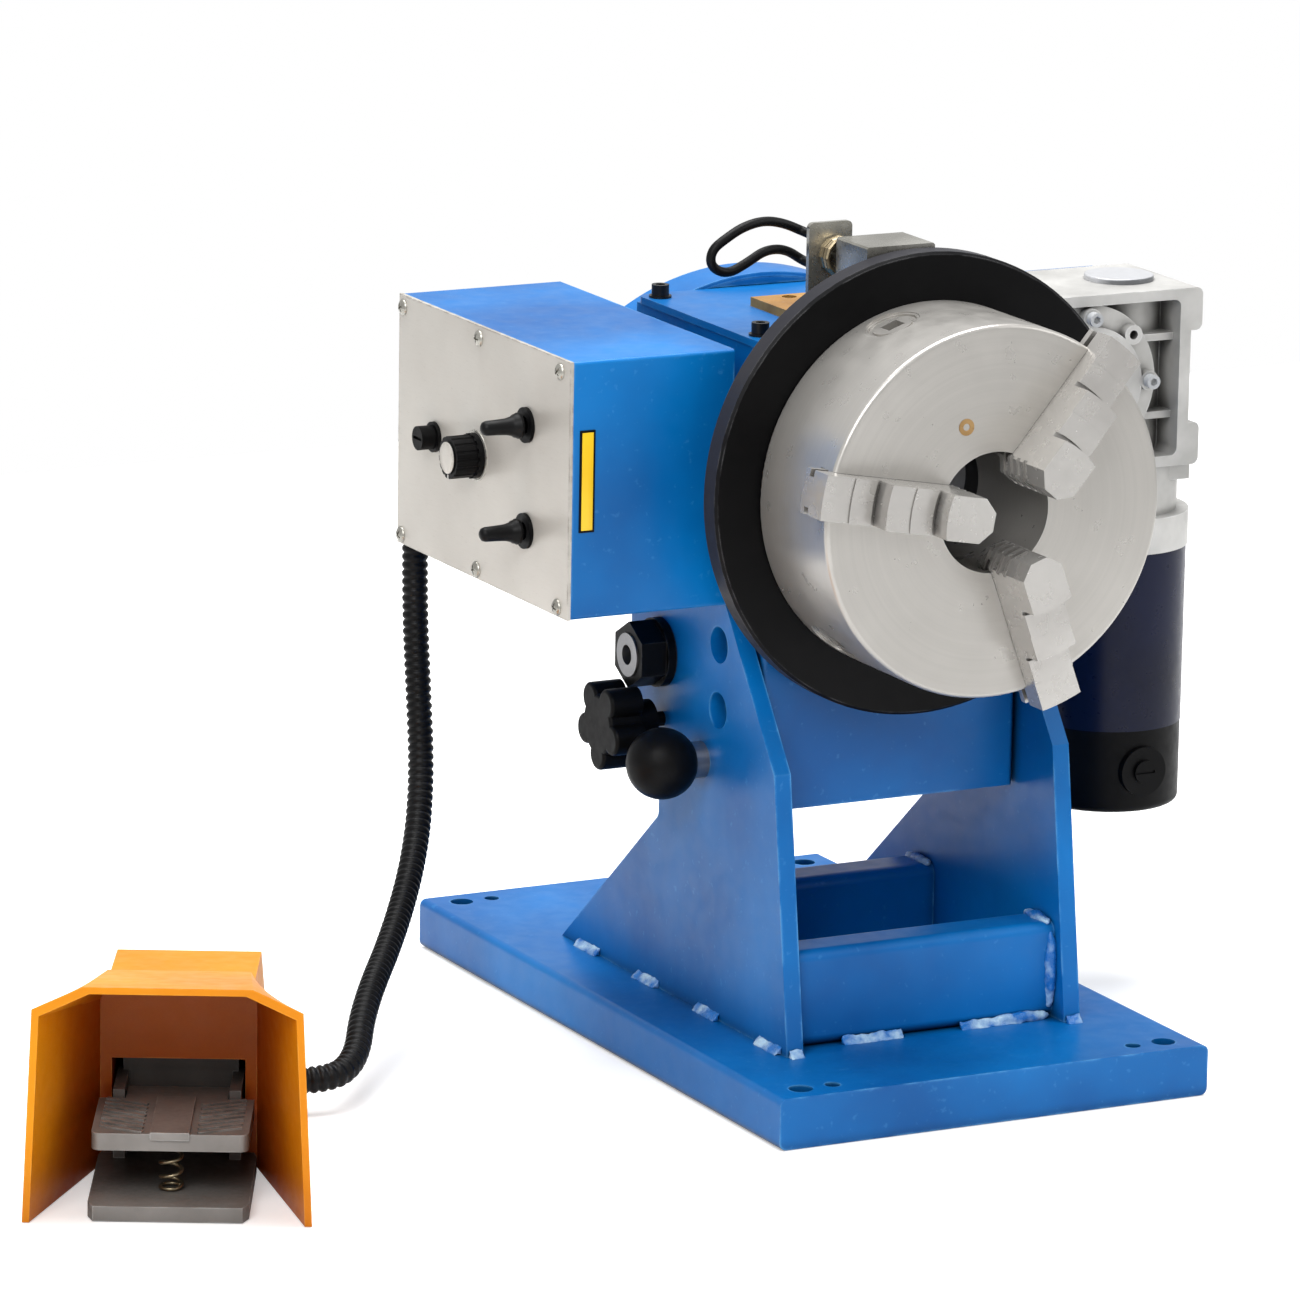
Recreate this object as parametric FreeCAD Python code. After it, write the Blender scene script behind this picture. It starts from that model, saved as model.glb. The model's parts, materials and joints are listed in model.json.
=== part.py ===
import FreeCAD, Part
import math
import os

from FreeCAD import Vector as V

# Welding positioner: a three-jaw chuck on a tilting head between two uprights, with a
# motor and worm gearbox beside the head, a control box on its left and a foot pedal.
# X runs along the tilt axis to the right, Y to the back, Z up. The origin is the middle
# of the base plate's underside. Millimetres.

RUN = 0.05      # radial clearance of a running fit
GAP = 0.3       # clearance between parts that pass or face each other
X, Y, Z = V(1, 0, 0), V(0, 1, 0), V(0, 0, 1)

# base plate and uprights
base_w, base_l, base_t = 260.0, 440.0, 28.0
base_edge_r = 4.0
floor_hole_d, floor_edge_x, floor_edge_y = 13.0, 19.5, 14.5      # from the plate's edges
floor_hole_x = base_w / 2 - floor_edge_x
floor_hole_y = base_l / 2 - floor_edge_y
level_hole_d, level_hole_in = 8.5, 19.0
level_hole_x = floor_hole_x - level_hole_in
upright_in, upright_t = 80.0, 10.0
upright_out = upright_in + upright_t
upright_top = 286.0
upright_rear = 36.5
foot_front, foot_rear = -151.5, 118.0
neck_y, neck_low, neck_high = 2.5, 125.0, 140.0
knee_y, knee_z = -130.5, 178.0
shoulder_y = -51.0
tube_w, tube_h, tube_wall, tube_r = 28.0, 53.0, 4.0, 6.0
front_tube_y, rear_tube_y = -124.5, 10.0
bead_r = 4.5

# tilt pivot, index circle and clamp
pivot_y, pivot_z = 2.3, 217.0
pivot_r, pivot_bore_r = 12.0, 5.5
nut_af, nut_t, washer_r, washer_t = 32.0, 15.0, 19.0, 5.0
index_r, index_hole_r, index_nose_half, index_nose_l = 69.5, 10.0, 6.0, 6.0
index_angles = (-45.0, -15.0, 15.0, 45.0)
index_travel, index_fit = 7.5, 0.1
ball_r, ball_flat = 19.5, 16.0
clamp_y, clamp_z, clamp_r = 0.0, 180.0, 4.0
star_r, star_t, star_hub_r, star_hub_l = 25.0, 19.0, 11.5, 13.0

# head
head_in = 78.0                 # half width between the uprights
head_front, head_bottom, head_top = -92.0, 147.5, 399.0
head_wall, head_floor = 8.0, 8.0
plate_y, plate_t = 54.0, 8.0   # rear gear plate
lid_t = 4.0
lid_top = head_top + lid_t
spindle_z = 327.6

# spindle, faceplate and chuck, counted along Y towards the front
spindle_r, spindle_bore = 40.0, 33.0
faceplate_r, faceplate_t = 125.6, 15.0
chuck_r, chuck_depth, chuck_bore = 100.0, 75.0, 32.5
chuck_front = -200.5
chuck_rear = chuck_front + chuck_depth
faceplate_back = chuck_rear + faceplate_t
flange_r, flange_t = 62.0, 12.0
bearing_r, bearing_w = 60.0, 20.0

# jaws and scroll
jaw_angles = (170.0, 50.0, -70.0)
jaw_w, jaw_inner, tip_chamfer = 24.0, 20.5, 7.0
jaw_levels = ((48.5, 36.0), (78.0, 25.0), (110.0, 12.5))   # outer radius, height on the chuck
ledge_l, ledge_drop = 15.5, 0.9
undercut_w, undercut_depth = 2.6, 2.4
groove_at, groove_w, groove_depth = 2.5, 4.5, 4.0
serration_pitch, serration_w, serration_depth = 7.0, 3.4, 1.6
slot_depth = 15.0
scroll_pitch, scroll_tooth = 8.0, 3.6
scroll_in, scroll_out, scroll_plate = 42.0, 79.0, 23.0
scroll_land = scroll_pitch / 2 - 0.35
hub_r = 39.0
jaw_flank = 0.5
pinion_head_r, pinion_shank_r, pinion_depth = 15.0, 7.5, 54.0
bevel_small_r, bevel_large_r, bevel_l = 12.0, 15.4, 15.0
cover_ring_t = 5.0
key_square, key_depth = 10.0, 12.0

# gear train between the gearbox and the spindle, whose module fills the shaft distance
gear_face = 12.0
spindle_teeth, idler_teeth, output_teeth = 44, 19, 21
gear_y = plate_y + plate_t + 6.0
idler_stud_r = 6.0
guard_depth, guard_wall = 30.0, 2.5
guard_r, guard_cz, guard_low = 137.0, 273.0, 253.0

# worm gearbox and motor
box_y, box_d = -24.0, 78.0
out_x, out_z = 158.5, 350.5
worm_offset = 40.0
box_inner, box_outer, box_half = 50.0, 71.5, 50.0
box_wall = 6.0
worm_wheel_r, worm_r, worm_shaft_r, output_shaft_r = 28.4, 11.0, 7.0, 12.0
worm_x, worm_y = out_x + worm_offset, box_y + box_d / 2
cover_r, cover_t, cover_pcd = 42.0, 6.0, 37.5
motor_r, motor_low, motor_cap_top = 42.0, 104.0, 151.0
motor_top, flange_low = 252.0, 272.0

# control box on the head's left
panel_x, panel_t = -190.0, 2.0
cbox_right, cbox_front, cbox_rear = -93.0, -82.0, 128.0
cbox_low, cbox_top, cbox_wall = 261.0, 400.0, 2.0
switch_y, switch_z, bush_r = -31.2, (357.0, 299.5), 5.0
knob_y, knob_z = 30.4, 328.5
fuse_y, fuse_z = 81.5, 328.8

# earth brush on the lid
bar_x, bar_y, bar_t = (-36.0, 20.0), (-74.0, 9.0), 5.0
leaf_x, leaf_y, leaf_t, leaf_top = (-40.0, -14.0), -64.0, 3.0, 461.0
brush_x, brush_y, brush_z = (-26.0, 11.0), -76.0, (420.0, 455.0)
brush_spring_x, brush_spring_z, brush_spring_r = -24.0, 443.0, 11.0
brush_rod_r, brush_rod_l = 3.0, 12.0
lead_r = 2.6

# foot pedal
pedal_at, pedal_yaw = V(-474.0, -207.0, 0), -27.0
guard_front = ((73.5, 0.0), (68.5, 112.0), (43.0, 124.0))
guard_back = ((43.0, 0.0), (43.0, 92.0), (37.0, 104.0))
hood_l, hood_wall = 105.0, 3.5
shell_half, shell_l, shell_h = 38.0, 240.0, 95.0
shell_tail, shell_drop = 40.0, 6.0
gland_y = shell_l - shell_tail
tread_half, tread_front, tread_z, tread_t = 40.0, 22.0, 41.0, 9.0
treadle_y, treadle_pin_r, treadle_pin_half = 100.0, 3.0, 34.0
pedal_plate_half, pedal_plate_t, slot_top = 41.0, 8.0, 58.0
cheek_u, cheek_t = 30.0, 6.0

# hose from the control box to the pedal
hose_r = 7.3
hose_end_out, hose_z = 46.0, 17.6


def box(x0, x1, y0, y1, z0, z1):
    return Part.makeBox(x1 - x0, y1 - y0, z1 - z0, V(x0, y0, z0))


def cyl(r, start, along, length):
    return Part.makeCylinder(r, length, start, along)


def tube(r_out, r_in, start, along, length):
    a = along.normalize() if along.Length != 1 else along
    return cyl(r_out, start, a, length).cut(cyl(r_in, start - a, a, length + 2))


def prism(points, direction):
    """Extrudes a closed outline given by its corner points."""
    return Part.Face(Part.makePolygon(points + [points[0]])).extrude(direction)


def joined(shapes):
    out = shapes[0]
    for s in shapes[1:]:
        out = out.fuse(s)
    return out.removeSplitter()


def cut(shape, *tools):
    for t in tools:
        shape = shape.cut(t)
    return shape


def group(solids):
    return Part.makeCompound(solids)


def turned(shape, centre, axis, degrees):
    s = shape.copy()
    s.rotate(centre, axis, degrees)
    return s


def edges_along(shape, axis, keep=lambda e: True):
    """Straight edges parallel to an axis."""
    found = []
    for e in shape.Edges:
        if e.Curve.TypeId != "Part::GeomLine":
            continue
        d = e.Vertexes[-1].Point - e.Vertexes[0].Point
        if abs(abs(d.normalize().dot(axis)) - 1) < 1e-6 and keep(e):
            found.append(e)
    return found


def hexagon(across_flats, start, along, length):
    r = across_flats / math.sqrt(3)
    side = Z if abs(along.z) < 0.5 else X
    other = along.cross(side)
    pts = [start + side * (r * math.cos(math.radians(a))) + other * (r * math.sin(math.radians(a)))
           for a in range(0, 360, 60)]
    return prism(pts, along * length)


def on_pivot(x, radius, degrees):
    """A point at a radius from the tilt axis; 0 degrees is forward, 90 up."""
    a = math.radians(degrees)
    return V(x, pivot_y - radius * math.cos(a), pivot_z + radius * math.sin(a))


def cap_screw(at, along, d=6.0, grip=8.0):
    """A socket head screw; along points out of the head's top."""
    body = cyl(d / 2, at - along * grip, along, grip).fuse(cyl(0.8 * d, at, along, d))
    return body.removeSplitter().cut(hexagon(0.8 * d, at + along * (0.5 * d), along, d))


# ---------------------------------------------------------------- base and uprights

def make_base_plate():
    s = box(-base_w / 2, base_w / 2, -base_l / 2, base_l / 2, 0, base_t)
    s = s.makeFillet(base_edge_r, edges_along(s, Y))
    for sx in (-1, 1):
        for sy in (-1, 1):
            for d, x in ((floor_hole_d, floor_hole_x), (level_hole_d, level_hole_x)):
                s = s.cut(cyl(d / 2, V(sx * x, sy * floor_hole_y, -1), Z, base_t + 2))
    return s


def upright_outline(x):
    corners = [(foot_front, base_t), (knee_y, knee_z), (shoulder_y, upright_top),
               (upright_rear, upright_top), (upright_rear, neck_high + 12),
               (neck_y, neck_high), (neck_y, neck_low), (foot_rear, base_t)]
    return [V(x, y, z) for y, z in corners]


def make_upright(side):
    x = side * upright_in
    s = prism(upright_outline(x), V(side * upright_t, 0, 0))
    top_rear = [e for e in edges_along(s, X) if e.Vertexes[0].Point.z > upright_top - 1
                and e.Vertexes[0].Point.y > 0]
    s = s.makeFillet(26.0, top_rear)
    necks = [e for e in edges_along(s, X) if abs(e.Vertexes[0].Point.y - neck_y) < 0.1]
    s = s.makeFillet(6.0, necks)
    s = s.cut(cyl(pivot_r + RUN, V(x - side, pivot_y, pivot_z), X * side, upright_t + 2))
    if side < 0:
        for a in index_angles:
            s = s.cut(cyl(index_hole_r, on_pivot(x + 1, index_r, a), -X, upright_t + 2))
        s = s.cut(cyl(clamp_r + RUN, V(x + 1, clamp_y, clamp_z), -X, upright_t + 2))
    return s


def make_cross_tube(y):
    z0 = base_t
    outer = box(-upright_in, upright_in, y - tube_w / 2, y + tube_w / 2, z0, z0 + tube_h)
    outer = outer.makeFillet(tube_r, edges_along(outer, X))
    inner = box(-upright_in - 1, upright_in + 1, y - tube_w / 2 + tube_wall,
                y + tube_w / 2 - tube_wall, z0 + tube_wall, z0 + tube_h - tube_wall)
    return outer.cut(inner)


def weld_bead(start, direction, length):
    """A quarter-round fillet weld lying in the corner of the base plate and a wall."""
    return prism([start, start + direction * bead_r, start + Z * bead_r], length)


def make_weld_beads():
    beads = []
    stitch, pitch = 26.0, 72.0
    for side in (-1, 1):
        for k in range(4):
            y = foot_front + 6 + k * pitch
            start = V(side * upright_out, y, base_t)
            beads.append(weld_bead(start, X * side, V(0, stitch, 0)))
        toe = V(side * (upright_in + upright_out) / 2 - 4, foot_front, base_t)
        beads.append(weld_bead(toe, -Y, V(8, 0, 0)))
    for y in (front_tube_y, rear_tube_y):
        for x in (-50.0, 22.0):
            beads.append(weld_bead(V(x, y - tube_w / 2, base_t), -Y, V(stitch + 10, 0, 0)))
    return group(beads)


# ---------------------------------------------------------------- tilt clamp and index pin

def make_star_knob():
    back = -upright_out - 8
    c = V(back, clamp_y, clamp_z)
    lobes = []
    for k in range(5):
        a = math.radians(-90 + 72 * k)
        out = V(0, math.cos(a), math.sin(a))
        lobes.append(cyl(8.5, c + out * (star_r - 8.5) - X * star_hub_l, -X, star_t))
    core = cyl(star_r * 0.68, c - X * star_hub_l, -X, star_t)
    hub = cyl(star_hub_r, c, -X, star_hub_l + 1)
    s = joined([core, hub] + lobes)
    rim = [e for e in s.Edges if e.BoundBox.XMax < back - star_hub_l - star_t + 0.1]
    s = s.makeFillet(2.0, rim)
    return joined([s, cyl(clamp_r, c - X * 5, X, -head_in - GAP - back + 5)])


def index_centre(x):
    return on_pivot(x, index_r, index_angles[0])


def make_index_pin():
    tip = index_centre(-upright_in - GAP)
    h = index_nose_half
    nose = box(tip.x - index_nose_l, tip.x, tip.y - h, tip.y + h, tip.z - h, tip.z + h)
    shank = cyl(index_hole_r - RUN, tip - X * index_nose_l, -X,
                upright_t - index_nose_l + index_travel + 0.8)
    stem = cyl(6.0, tip - X * (index_nose_l + 2), -X, index_travel + 14)
    return joined([nose, shank, stem])


def make_index_ball():
    centre = index_centre(-upright_out - index_travel - 0.5 - ball_flat)
    s = Part.makeSphere(ball_r, centre)
    face = centre + X * ball_flat
    s = s.cut(box(face.x, face.x + ball_r, face.y - ball_r, face.y + ball_r,
                  face.z - ball_r, face.z + ball_r))
    return s.cut(make_index_pin())


# ---------------------------------------------------------------- head

def index_pockets():
    """Square pockets through the head's side wall that take the index pin, level and upright."""
    h = index_nose_half + index_fit
    at = [on_pivot(-head_in, index_r, a) for a in (index_angles[0], index_angles[0] - 90)]
    return [box(c.x - 1, c.x + head_wall + 1, c.y - h, c.y + h, c.z - h, c.z + h) for c in at]


def make_head_housing():
    outer = box(-head_in, head_in, head_front, plate_y, head_bottom, head_top)
    inner = box(-head_in + head_wall, head_in - head_wall, head_front + head_wall, plate_y + 1,
                head_bottom + head_floor, head_top + 1)
    s = outer.makeFillet(3.0, edges_along(outer, Z, lambda e: e.Vertexes[0].Point.y < 0)).cut(inner)
    seat = cyl(bearing_r + 8, V(0, head_front + 2, spindle_z), Y, bearing_w + 2)
    s = s.fuse(seat).removeSplitter()
    s = cut(s, cyl(spindle_r + 3, V(0, head_front - 1, spindle_z), Y, 60),
            cyl(bearing_r, V(0, head_front + 4, spindle_z), Y, bearing_w + 10))
    s = cut(s, *index_pockets())
    for side in (-1, 1):
        s = s.cut(cyl(pivot_r, V(side * (head_in + 1), pivot_y, pivot_z), -X * side, head_wall + 2))
    return s


def make_lid():
    s = box(-head_in - 1, head_in + 1, head_front, plate_y + plate_t, head_top, lid_top)
    s = s.makeFillet(8.0, edges_along(s, Z))
    return cut(s, *[cyl(3.2, V(x, y, head_top - 1), Z, 9) for x, y in lid_screws()])


def lid_screws():
    return [(sx * 70.0, y) for sx in (-1, 1) for y in (-67.0, 50.0)]


def gear_module():
    teeth = spindle_teeth + 2 * idler_teeth + output_teeth
    return 2 * math.hypot(out_x, out_z - spindle_z) / teeth


def train_centres():
    """Spindle, idler and gearbox output shafts, in line."""
    a = V(0, 0, spindle_z)
    b = V(out_x, 0, out_z)
    along = (b - a).normalize()
    return a, a + along * (gear_module() * (spindle_teeth + idler_teeth) / 2), b


def at_y(p, y):
    return V(p.x, y, p.z)


def make_gear_plate():
    pts = [(-head_in, head_bottom), (head_in, head_bottom), (head_in, guard_low),
           (out_x + 50, guard_low + 42), (out_x + 50, head_top), (-head_in, head_top)]
    s = prism([V(x, plate_y, z) for x, z in pts], V(0, plate_t, 0))
    spindle, idler, output = train_centres()
    s = s.cut(cyl(bearing_r, at_y(spindle, plate_y - 1), Y, plate_t + 2))
    s = s.cut(cyl(20.0, at_y(output, plate_y - 1), Y, plate_t + 2))
    stud = cyl(idler_stud_r, at_y(idler, plate_y + 1), Y, gear_y + gear_face + 4 - plate_y)
    collar = cyl(idler_stud_r + 3, at_y(idler, plate_y + 1), Y, gear_y - GAP - plate_y - 1)
    return cut(joined([s, collar, stud]), *index_pockets())


def guard_outline(shrink):
    """Gear guard seen from the front: an arched top over the head, round at the output."""
    y = plate_y + plate_t
    left, low = -head_in + shrink, guard_low + shrink
    r = guard_r - shrink
    lobe = 45.0 - shrink
    start = V(left, y, guard_cz + math.sqrt(r * r - left * left))
    level = out_z + lobe
    join = V(math.sqrt(r * r - (level - guard_cz) ** 2), y, level)
    crown = Part.Arc(start, V(0, y, guard_cz + r), join).toShape()
    top = Part.makeLine(join, V(out_x, y, level))
    k = lobe * math.sqrt(0.5)
    right = V(out_x + lobe, y, out_z)
    nose = Part.Arc(V(out_x, y, level), V(out_x + k, y, out_z + k), right).toShape()
    corner = V(out_x + lobe, y, low + 42)
    down = Part.makeLine(right, corner)
    slope = Part.makeLine(corner, V(head_in, y, low))
    bottom = Part.makeLine(V(head_in, y, low), V(left, y, low))
    up = Part.makeLine(V(left, y, low), start)
    return Part.Face(Part.Wire([crown, top, nose, down, slope, bottom, up]))


def make_gear_guard():
    outer = guard_outline(0).extrude(V(0, guard_depth, 0))
    inner = guard_outline(guard_wall).extrude(V(0, guard_depth - guard_wall, 0))
    return cut(outer, inner, cyl(spindle_r + 2, V(0, plate_y, spindle_z), Y, 60))


def gear(teeth, centre, face, bore, phase=0.0):
    """A spur gear whose flanks leave a little backlash at the pitch circle."""
    m = gear_module()
    pitch = m * teeth / 2
    tip, root = pitch + 0.8 * m, pitch - 1.15 * m
    half = math.pi / 2 / teeth - 0.3 / pitch
    pts = []
    for k in range(teeth):
        mid = math.radians(phase) + 2 * math.pi * k / teeth
        for r, a in ((root, -1.45), (tip, -0.5), (tip, 0.5), (root, 1.45)):
            t = mid + a * half
            pts.append(centre + V(r * math.cos(t), 0, r * math.sin(t)))
    return prism(pts, V(0, face, 0)).cut(cyl(bore, centre - Y, Y, face + 2))


def train_phases():
    """Turns each gear so that a tooth of one faces a gap of the next."""
    spindle, idler, output = train_centres()
    line = math.degrees(math.atan2(output.z - spindle.z, output.x - spindle.x))
    idler_phase = line + 180 + 180.0 / idler_teeth
    far = ((line - idler_phase) * idler_teeth / 360.0) % 1.0
    return line, idler_phase, line + 180 + (far + 0.5) * 360.0 / output_teeth


def make_pivot_pins():
    pins = []
    for side in (-1, 1):
        x = side * (head_in - head_wall)
        length = head_wall + 2 + upright_t + washer_t + GAP + nut_t + 1
        pins.append(tube(pivot_r, pivot_bore_r, V(x, pivot_y, pivot_z), X * side, length))
    return group(pins)


def make_pivot_nuts():
    nuts = []
    for side in (-1, 1):
        x = side * (upright_out + GAP)
        c = V(x, pivot_y, pivot_z)
        s = cyl(washer_r, c, X * side, washer_t)
        s = s.fuse(hexagon(nut_af, c + X * (side * washer_t), X * side, nut_t)).removeSplitter()
        nuts.append(s.cut(cyl(pivot_r, c - X * side, X * side, 40)))
    return group(nuts)


def make_bearing(y):
    return tube(bearing_r, spindle_r + RUN, V(0, y, spindle_z), Y, bearing_w)


# ---------------------------------------------------------------- spindle and chuck

def make_spindle():
    c = V(0, faceplate_back, spindle_z)
    rear = plate_y + plate_t + guard_depth + 4
    s = cyl(spindle_r, c, Y, rear - faceplate_back)
    s = s.fuse(cyl(flange_r, c, Y, flange_t)).removeSplitter()
    return s.cut(cyl(spindle_bore, c - Y, Y, 400))


def make_faceplate():
    c = V(0, chuck_rear, spindle_z)
    s = cyl(faceplate_r, c, Y, faceplate_t)
    s = s.makeChamfer(1.5, [e for e in s.Edges if e.Curve.TypeId == "Part::GeomCircle"])
    s = s.cut(cyl(spindle_bore, c - Y, Y, 40))
    for k in range(3):
        a = math.radians(jaw_angles[0] + 60 + 120 * k)
        s = s.cut(cyl(4.25, c + V(86 * math.cos(a), -1, 86 * math.sin(a)), Y, 40))
    return s


scroll_front = chuck_front + slot_depth - scroll_tooth


def jaw_slot():
    """Room for one jaw along +X from the spindle axis, less a tongue on each side."""
    y0, fit = chuck_front, 0.1
    half = jaw_w / 2 + fit
    s = box(0, chuck_r + 5, y0 - 1, y0 + slot_depth, -half, half)
    for side in (-1, 1):
        inner = side * (half - groove_depth)
        tongue = box(-1, chuck_r + 6, y0 + groove_at + fit, y0 + groove_at + groove_w - fit,
                     min(inner, side * (half + 1)), max(inner, side * (half + 1)))
        s = s.cut(tongue)
    return s.translated(V(0, 0, spindle_z))


def spindle_axis(shape, degrees):
    """Turns a shape built along +X about the spindle axis; positive is towards +Z."""
    return turned(shape, V(0, 0, spindle_z), Y, -degrees)


def pinion_angles():
    return [a - 60 for a in jaw_angles]


def make_chuck_body():
    c = V(0, chuck_front, spindle_z)
    s = cyl(chuck_r, c, Y, chuck_depth)
    rims = [e for e in s.Edges if e.Curve.TypeId == "Part::GeomCircle"]
    s = s.makeFillet(2.5, rims)
    s = s.cut(cyl(chuck_bore, c - Y, Y, chuck_depth + 2))
    cavity = tube(scroll_out + GAP, hub_r, V(0, scroll_front - RUN, spindle_z), Y, chuck_depth)
    s = s.cut(cavity)
    for a in jaw_angles:
        s = s.cut(spindle_axis(jaw_slot(), a))
    for a in pinion_angles():
        hole = cyl(pinion_head_r + GAP / 2, V(scroll_out - 3, chuck_front + pinion_depth, spindle_z),
                   X, 40)
        s = s.cut(spindle_axis(hole, a))
    return s


def make_chuck_back():
    """Cover ring of the scroll cavity, with a sleeve that keeps the scroll forward."""
    c = V(0, chuck_rear - cover_ring_t, spindle_z)
    ring = tube(scroll_out + GAP, hub_r, c, Y, cover_ring_t)
    low = scroll_front + scroll_tooth + scroll_plate + RUN
    sleeve = tube(scroll_in + 3, hub_r, V(0, low, spindle_z), Y, c.y + 1 - low)
    return joined([ring, sleeve])


def scroll_radius(turns):
    return scroll_in + scroll_pitch * turns


def make_scroll():
    """Plate with an Archimedean thread on its face, one pitch per turn."""
    c = V(0, 0, spindle_z)
    steps = 48
    turns = (scroll_out - scroll_in) / scroll_pitch - 0.5
    inner, outer = [], []
    for k in range(int(turns * steps) + 1):
        t = k / steps
        a = math.radians(360 * t + jaw_angles[0])
        d = V(math.cos(a), 0, math.sin(a))
        inner.append(c + d * scroll_radius(t) + Y * scroll_front)
        outer.append(c + d * (scroll_radius(t) + scroll_land) + Y * scroll_front)
    thread = prism(inner + outer[::-1], V(0, scroll_tooth + 0.5, 0))
    plate = tube(scroll_out, hub_r + RUN, c + Y * (scroll_front + scroll_tooth), Y, scroll_plate)
    return plate.fuse(thread).removeSplitter()


def jaw_tooth_radii(degrees):
    """Radii of the thread's inner flank at a jaw, carried inwards to the jaw's tip."""
    t = ((degrees - jaw_angles[0]) % 360) / 360
    first = scroll_radius(t)
    while first - 2 * scroll_pitch + scroll_land > jaw_inner:
        first -= scroll_pitch
    count = int((scroll_out - first) / scroll_pitch) + 1
    return [first + scroll_pitch * k for k in range(count)]


def jaw_tooth(flank, y0, y1):
    """Tooth that clears the thread at every radius: its outer face bends more than the
    innermost turn, and its inner face less than the outermost."""
    half = jaw_w / 2
    out_r, in_r = scroll_in - 1.0, scroll_out + 6.0
    low, high = flank - scroll_pitch + scroll_land + jaw_flank, flank - jaw_flank
    out_side = high - out_r + math.sqrt(out_r ** 2 - half ** 2)
    in_side = low - in_r + math.sqrt(in_r ** 2 - half ** 2)
    a, b = V(in_side, y0, -half), V(in_side, y0, half)
    c, d = V(out_side, y0, half), V(out_side, y0, -half)
    wire = Part.Wire([Part.Arc(a, V(low, y0, 0), b).toShape(), Part.makeLine(b, c),
                      Part.Arc(c, V(high, y0, 0), d).toShape(), Part.makeLine(d, a)])
    return Part.Face(wire).extrude(V(0, y1 - y0, 0))


def jaw_block(outer_r, y0, y1):
    """Jaw material between two depths: chamfered tip, parallel sides, round outer end."""
    s = box(jaw_inner, outer_r, y0, y1, -jaw_w / 2, jaw_w / 2)
    tip = edges_along(s, Y, lambda e: abs(e.Vertexes[0].Point.x - jaw_inner) < 0.01)
    return s.makeChamfer(tip_chamfer, tip).common(cyl(outer_r, V(0, y0 - 1, 0), Y, y1 - y0 + 2))


def make_jaw(degrees):
    """One jaw: three steps in front, guide grooves in its sides, scroll teeth behind."""
    y0 = chuck_front
    half = jaw_w / 2
    base_rear = y0 + slot_depth - scroll_tooth - GAP
    teeth_rear = y0 + slot_depth - GAP
    outer_r = jaw_levels[-1][0]
    s = joined([jaw_block(r, y0 - h, base_rear) for r, h in jaw_levels])
    for (inner, _), (outer, h) in zip(jaw_levels, jaw_levels[1:]):
        front = V(0, y0 - h - 1, 0)
        s = cut(s, tube(outer + 1, inner + ledge_l, front, Y, 1 + ledge_drop),
                tube(inner + undercut_w, inner, front, Y, 1 + undercut_depth))
    for side in (-1, 1):
        z = sorted((side * (half - groove_depth), side * (half + 1)))
        s = s.cut(box(jaw_inner - 1, outer_r + 1, y0 + groove_at, y0 + groove_at + groove_w, *z))
    plain = s.translated(V(serration_depth, 0, 0))
    y = base_rear - serration_pitch
    while y > y0 - jaw_levels[0][1] + 2 * serration_pitch:
        strip = box(jaw_inner - 1, jaw_inner + tip_chamfer + 3, y, y + serration_w, -half - 1, half + 1)
        s = s.cut(strip.cut(plain))
        y -= serration_pitch
    plan = jaw_block(outer_r, base_rear - 1, teeth_rear)
    teeth = [jaw_tooth(flank, base_rear - 1, teeth_rear).common(plan)
             for flank in jaw_tooth_radii(degrees)]
    s = joined([s] + teeth).translated(V(0, 0, spindle_z))
    return spindle_axis(s, degrees)


def make_pinion(degrees):
    y = chuck_front + pinion_depth
    start = scroll_out - 3
    head = cyl(pinion_head_r, V(start, y, spindle_z), X, chuck_r - 1.5 - start)
    bevel = Part.makeCone(bevel_small_r, bevel_large_r, bevel_l,
                          V(start - bevel_l, y, spindle_z), X)
    shank = cyl(pinion_shank_r, V(scroll_in + 4, y, spindle_z), X, scroll_out - scroll_in - 6)
    h = key_square / 2
    key = box(chuck_r - 1.5 - key_depth, chuck_r + 1, y - h, y + h, spindle_z - h, spindle_z + h)
    face = chuck_r - 1.5
    rim = tube(pinion_head_r - 1.5, pinion_head_r - 4, V(face - 1, y, spindle_z), X, 3)
    return spindle_axis(cut(joined([head, bevel, shank]), key, rim), degrees)


# ---------------------------------------------------------------- gearbox and motor

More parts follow.
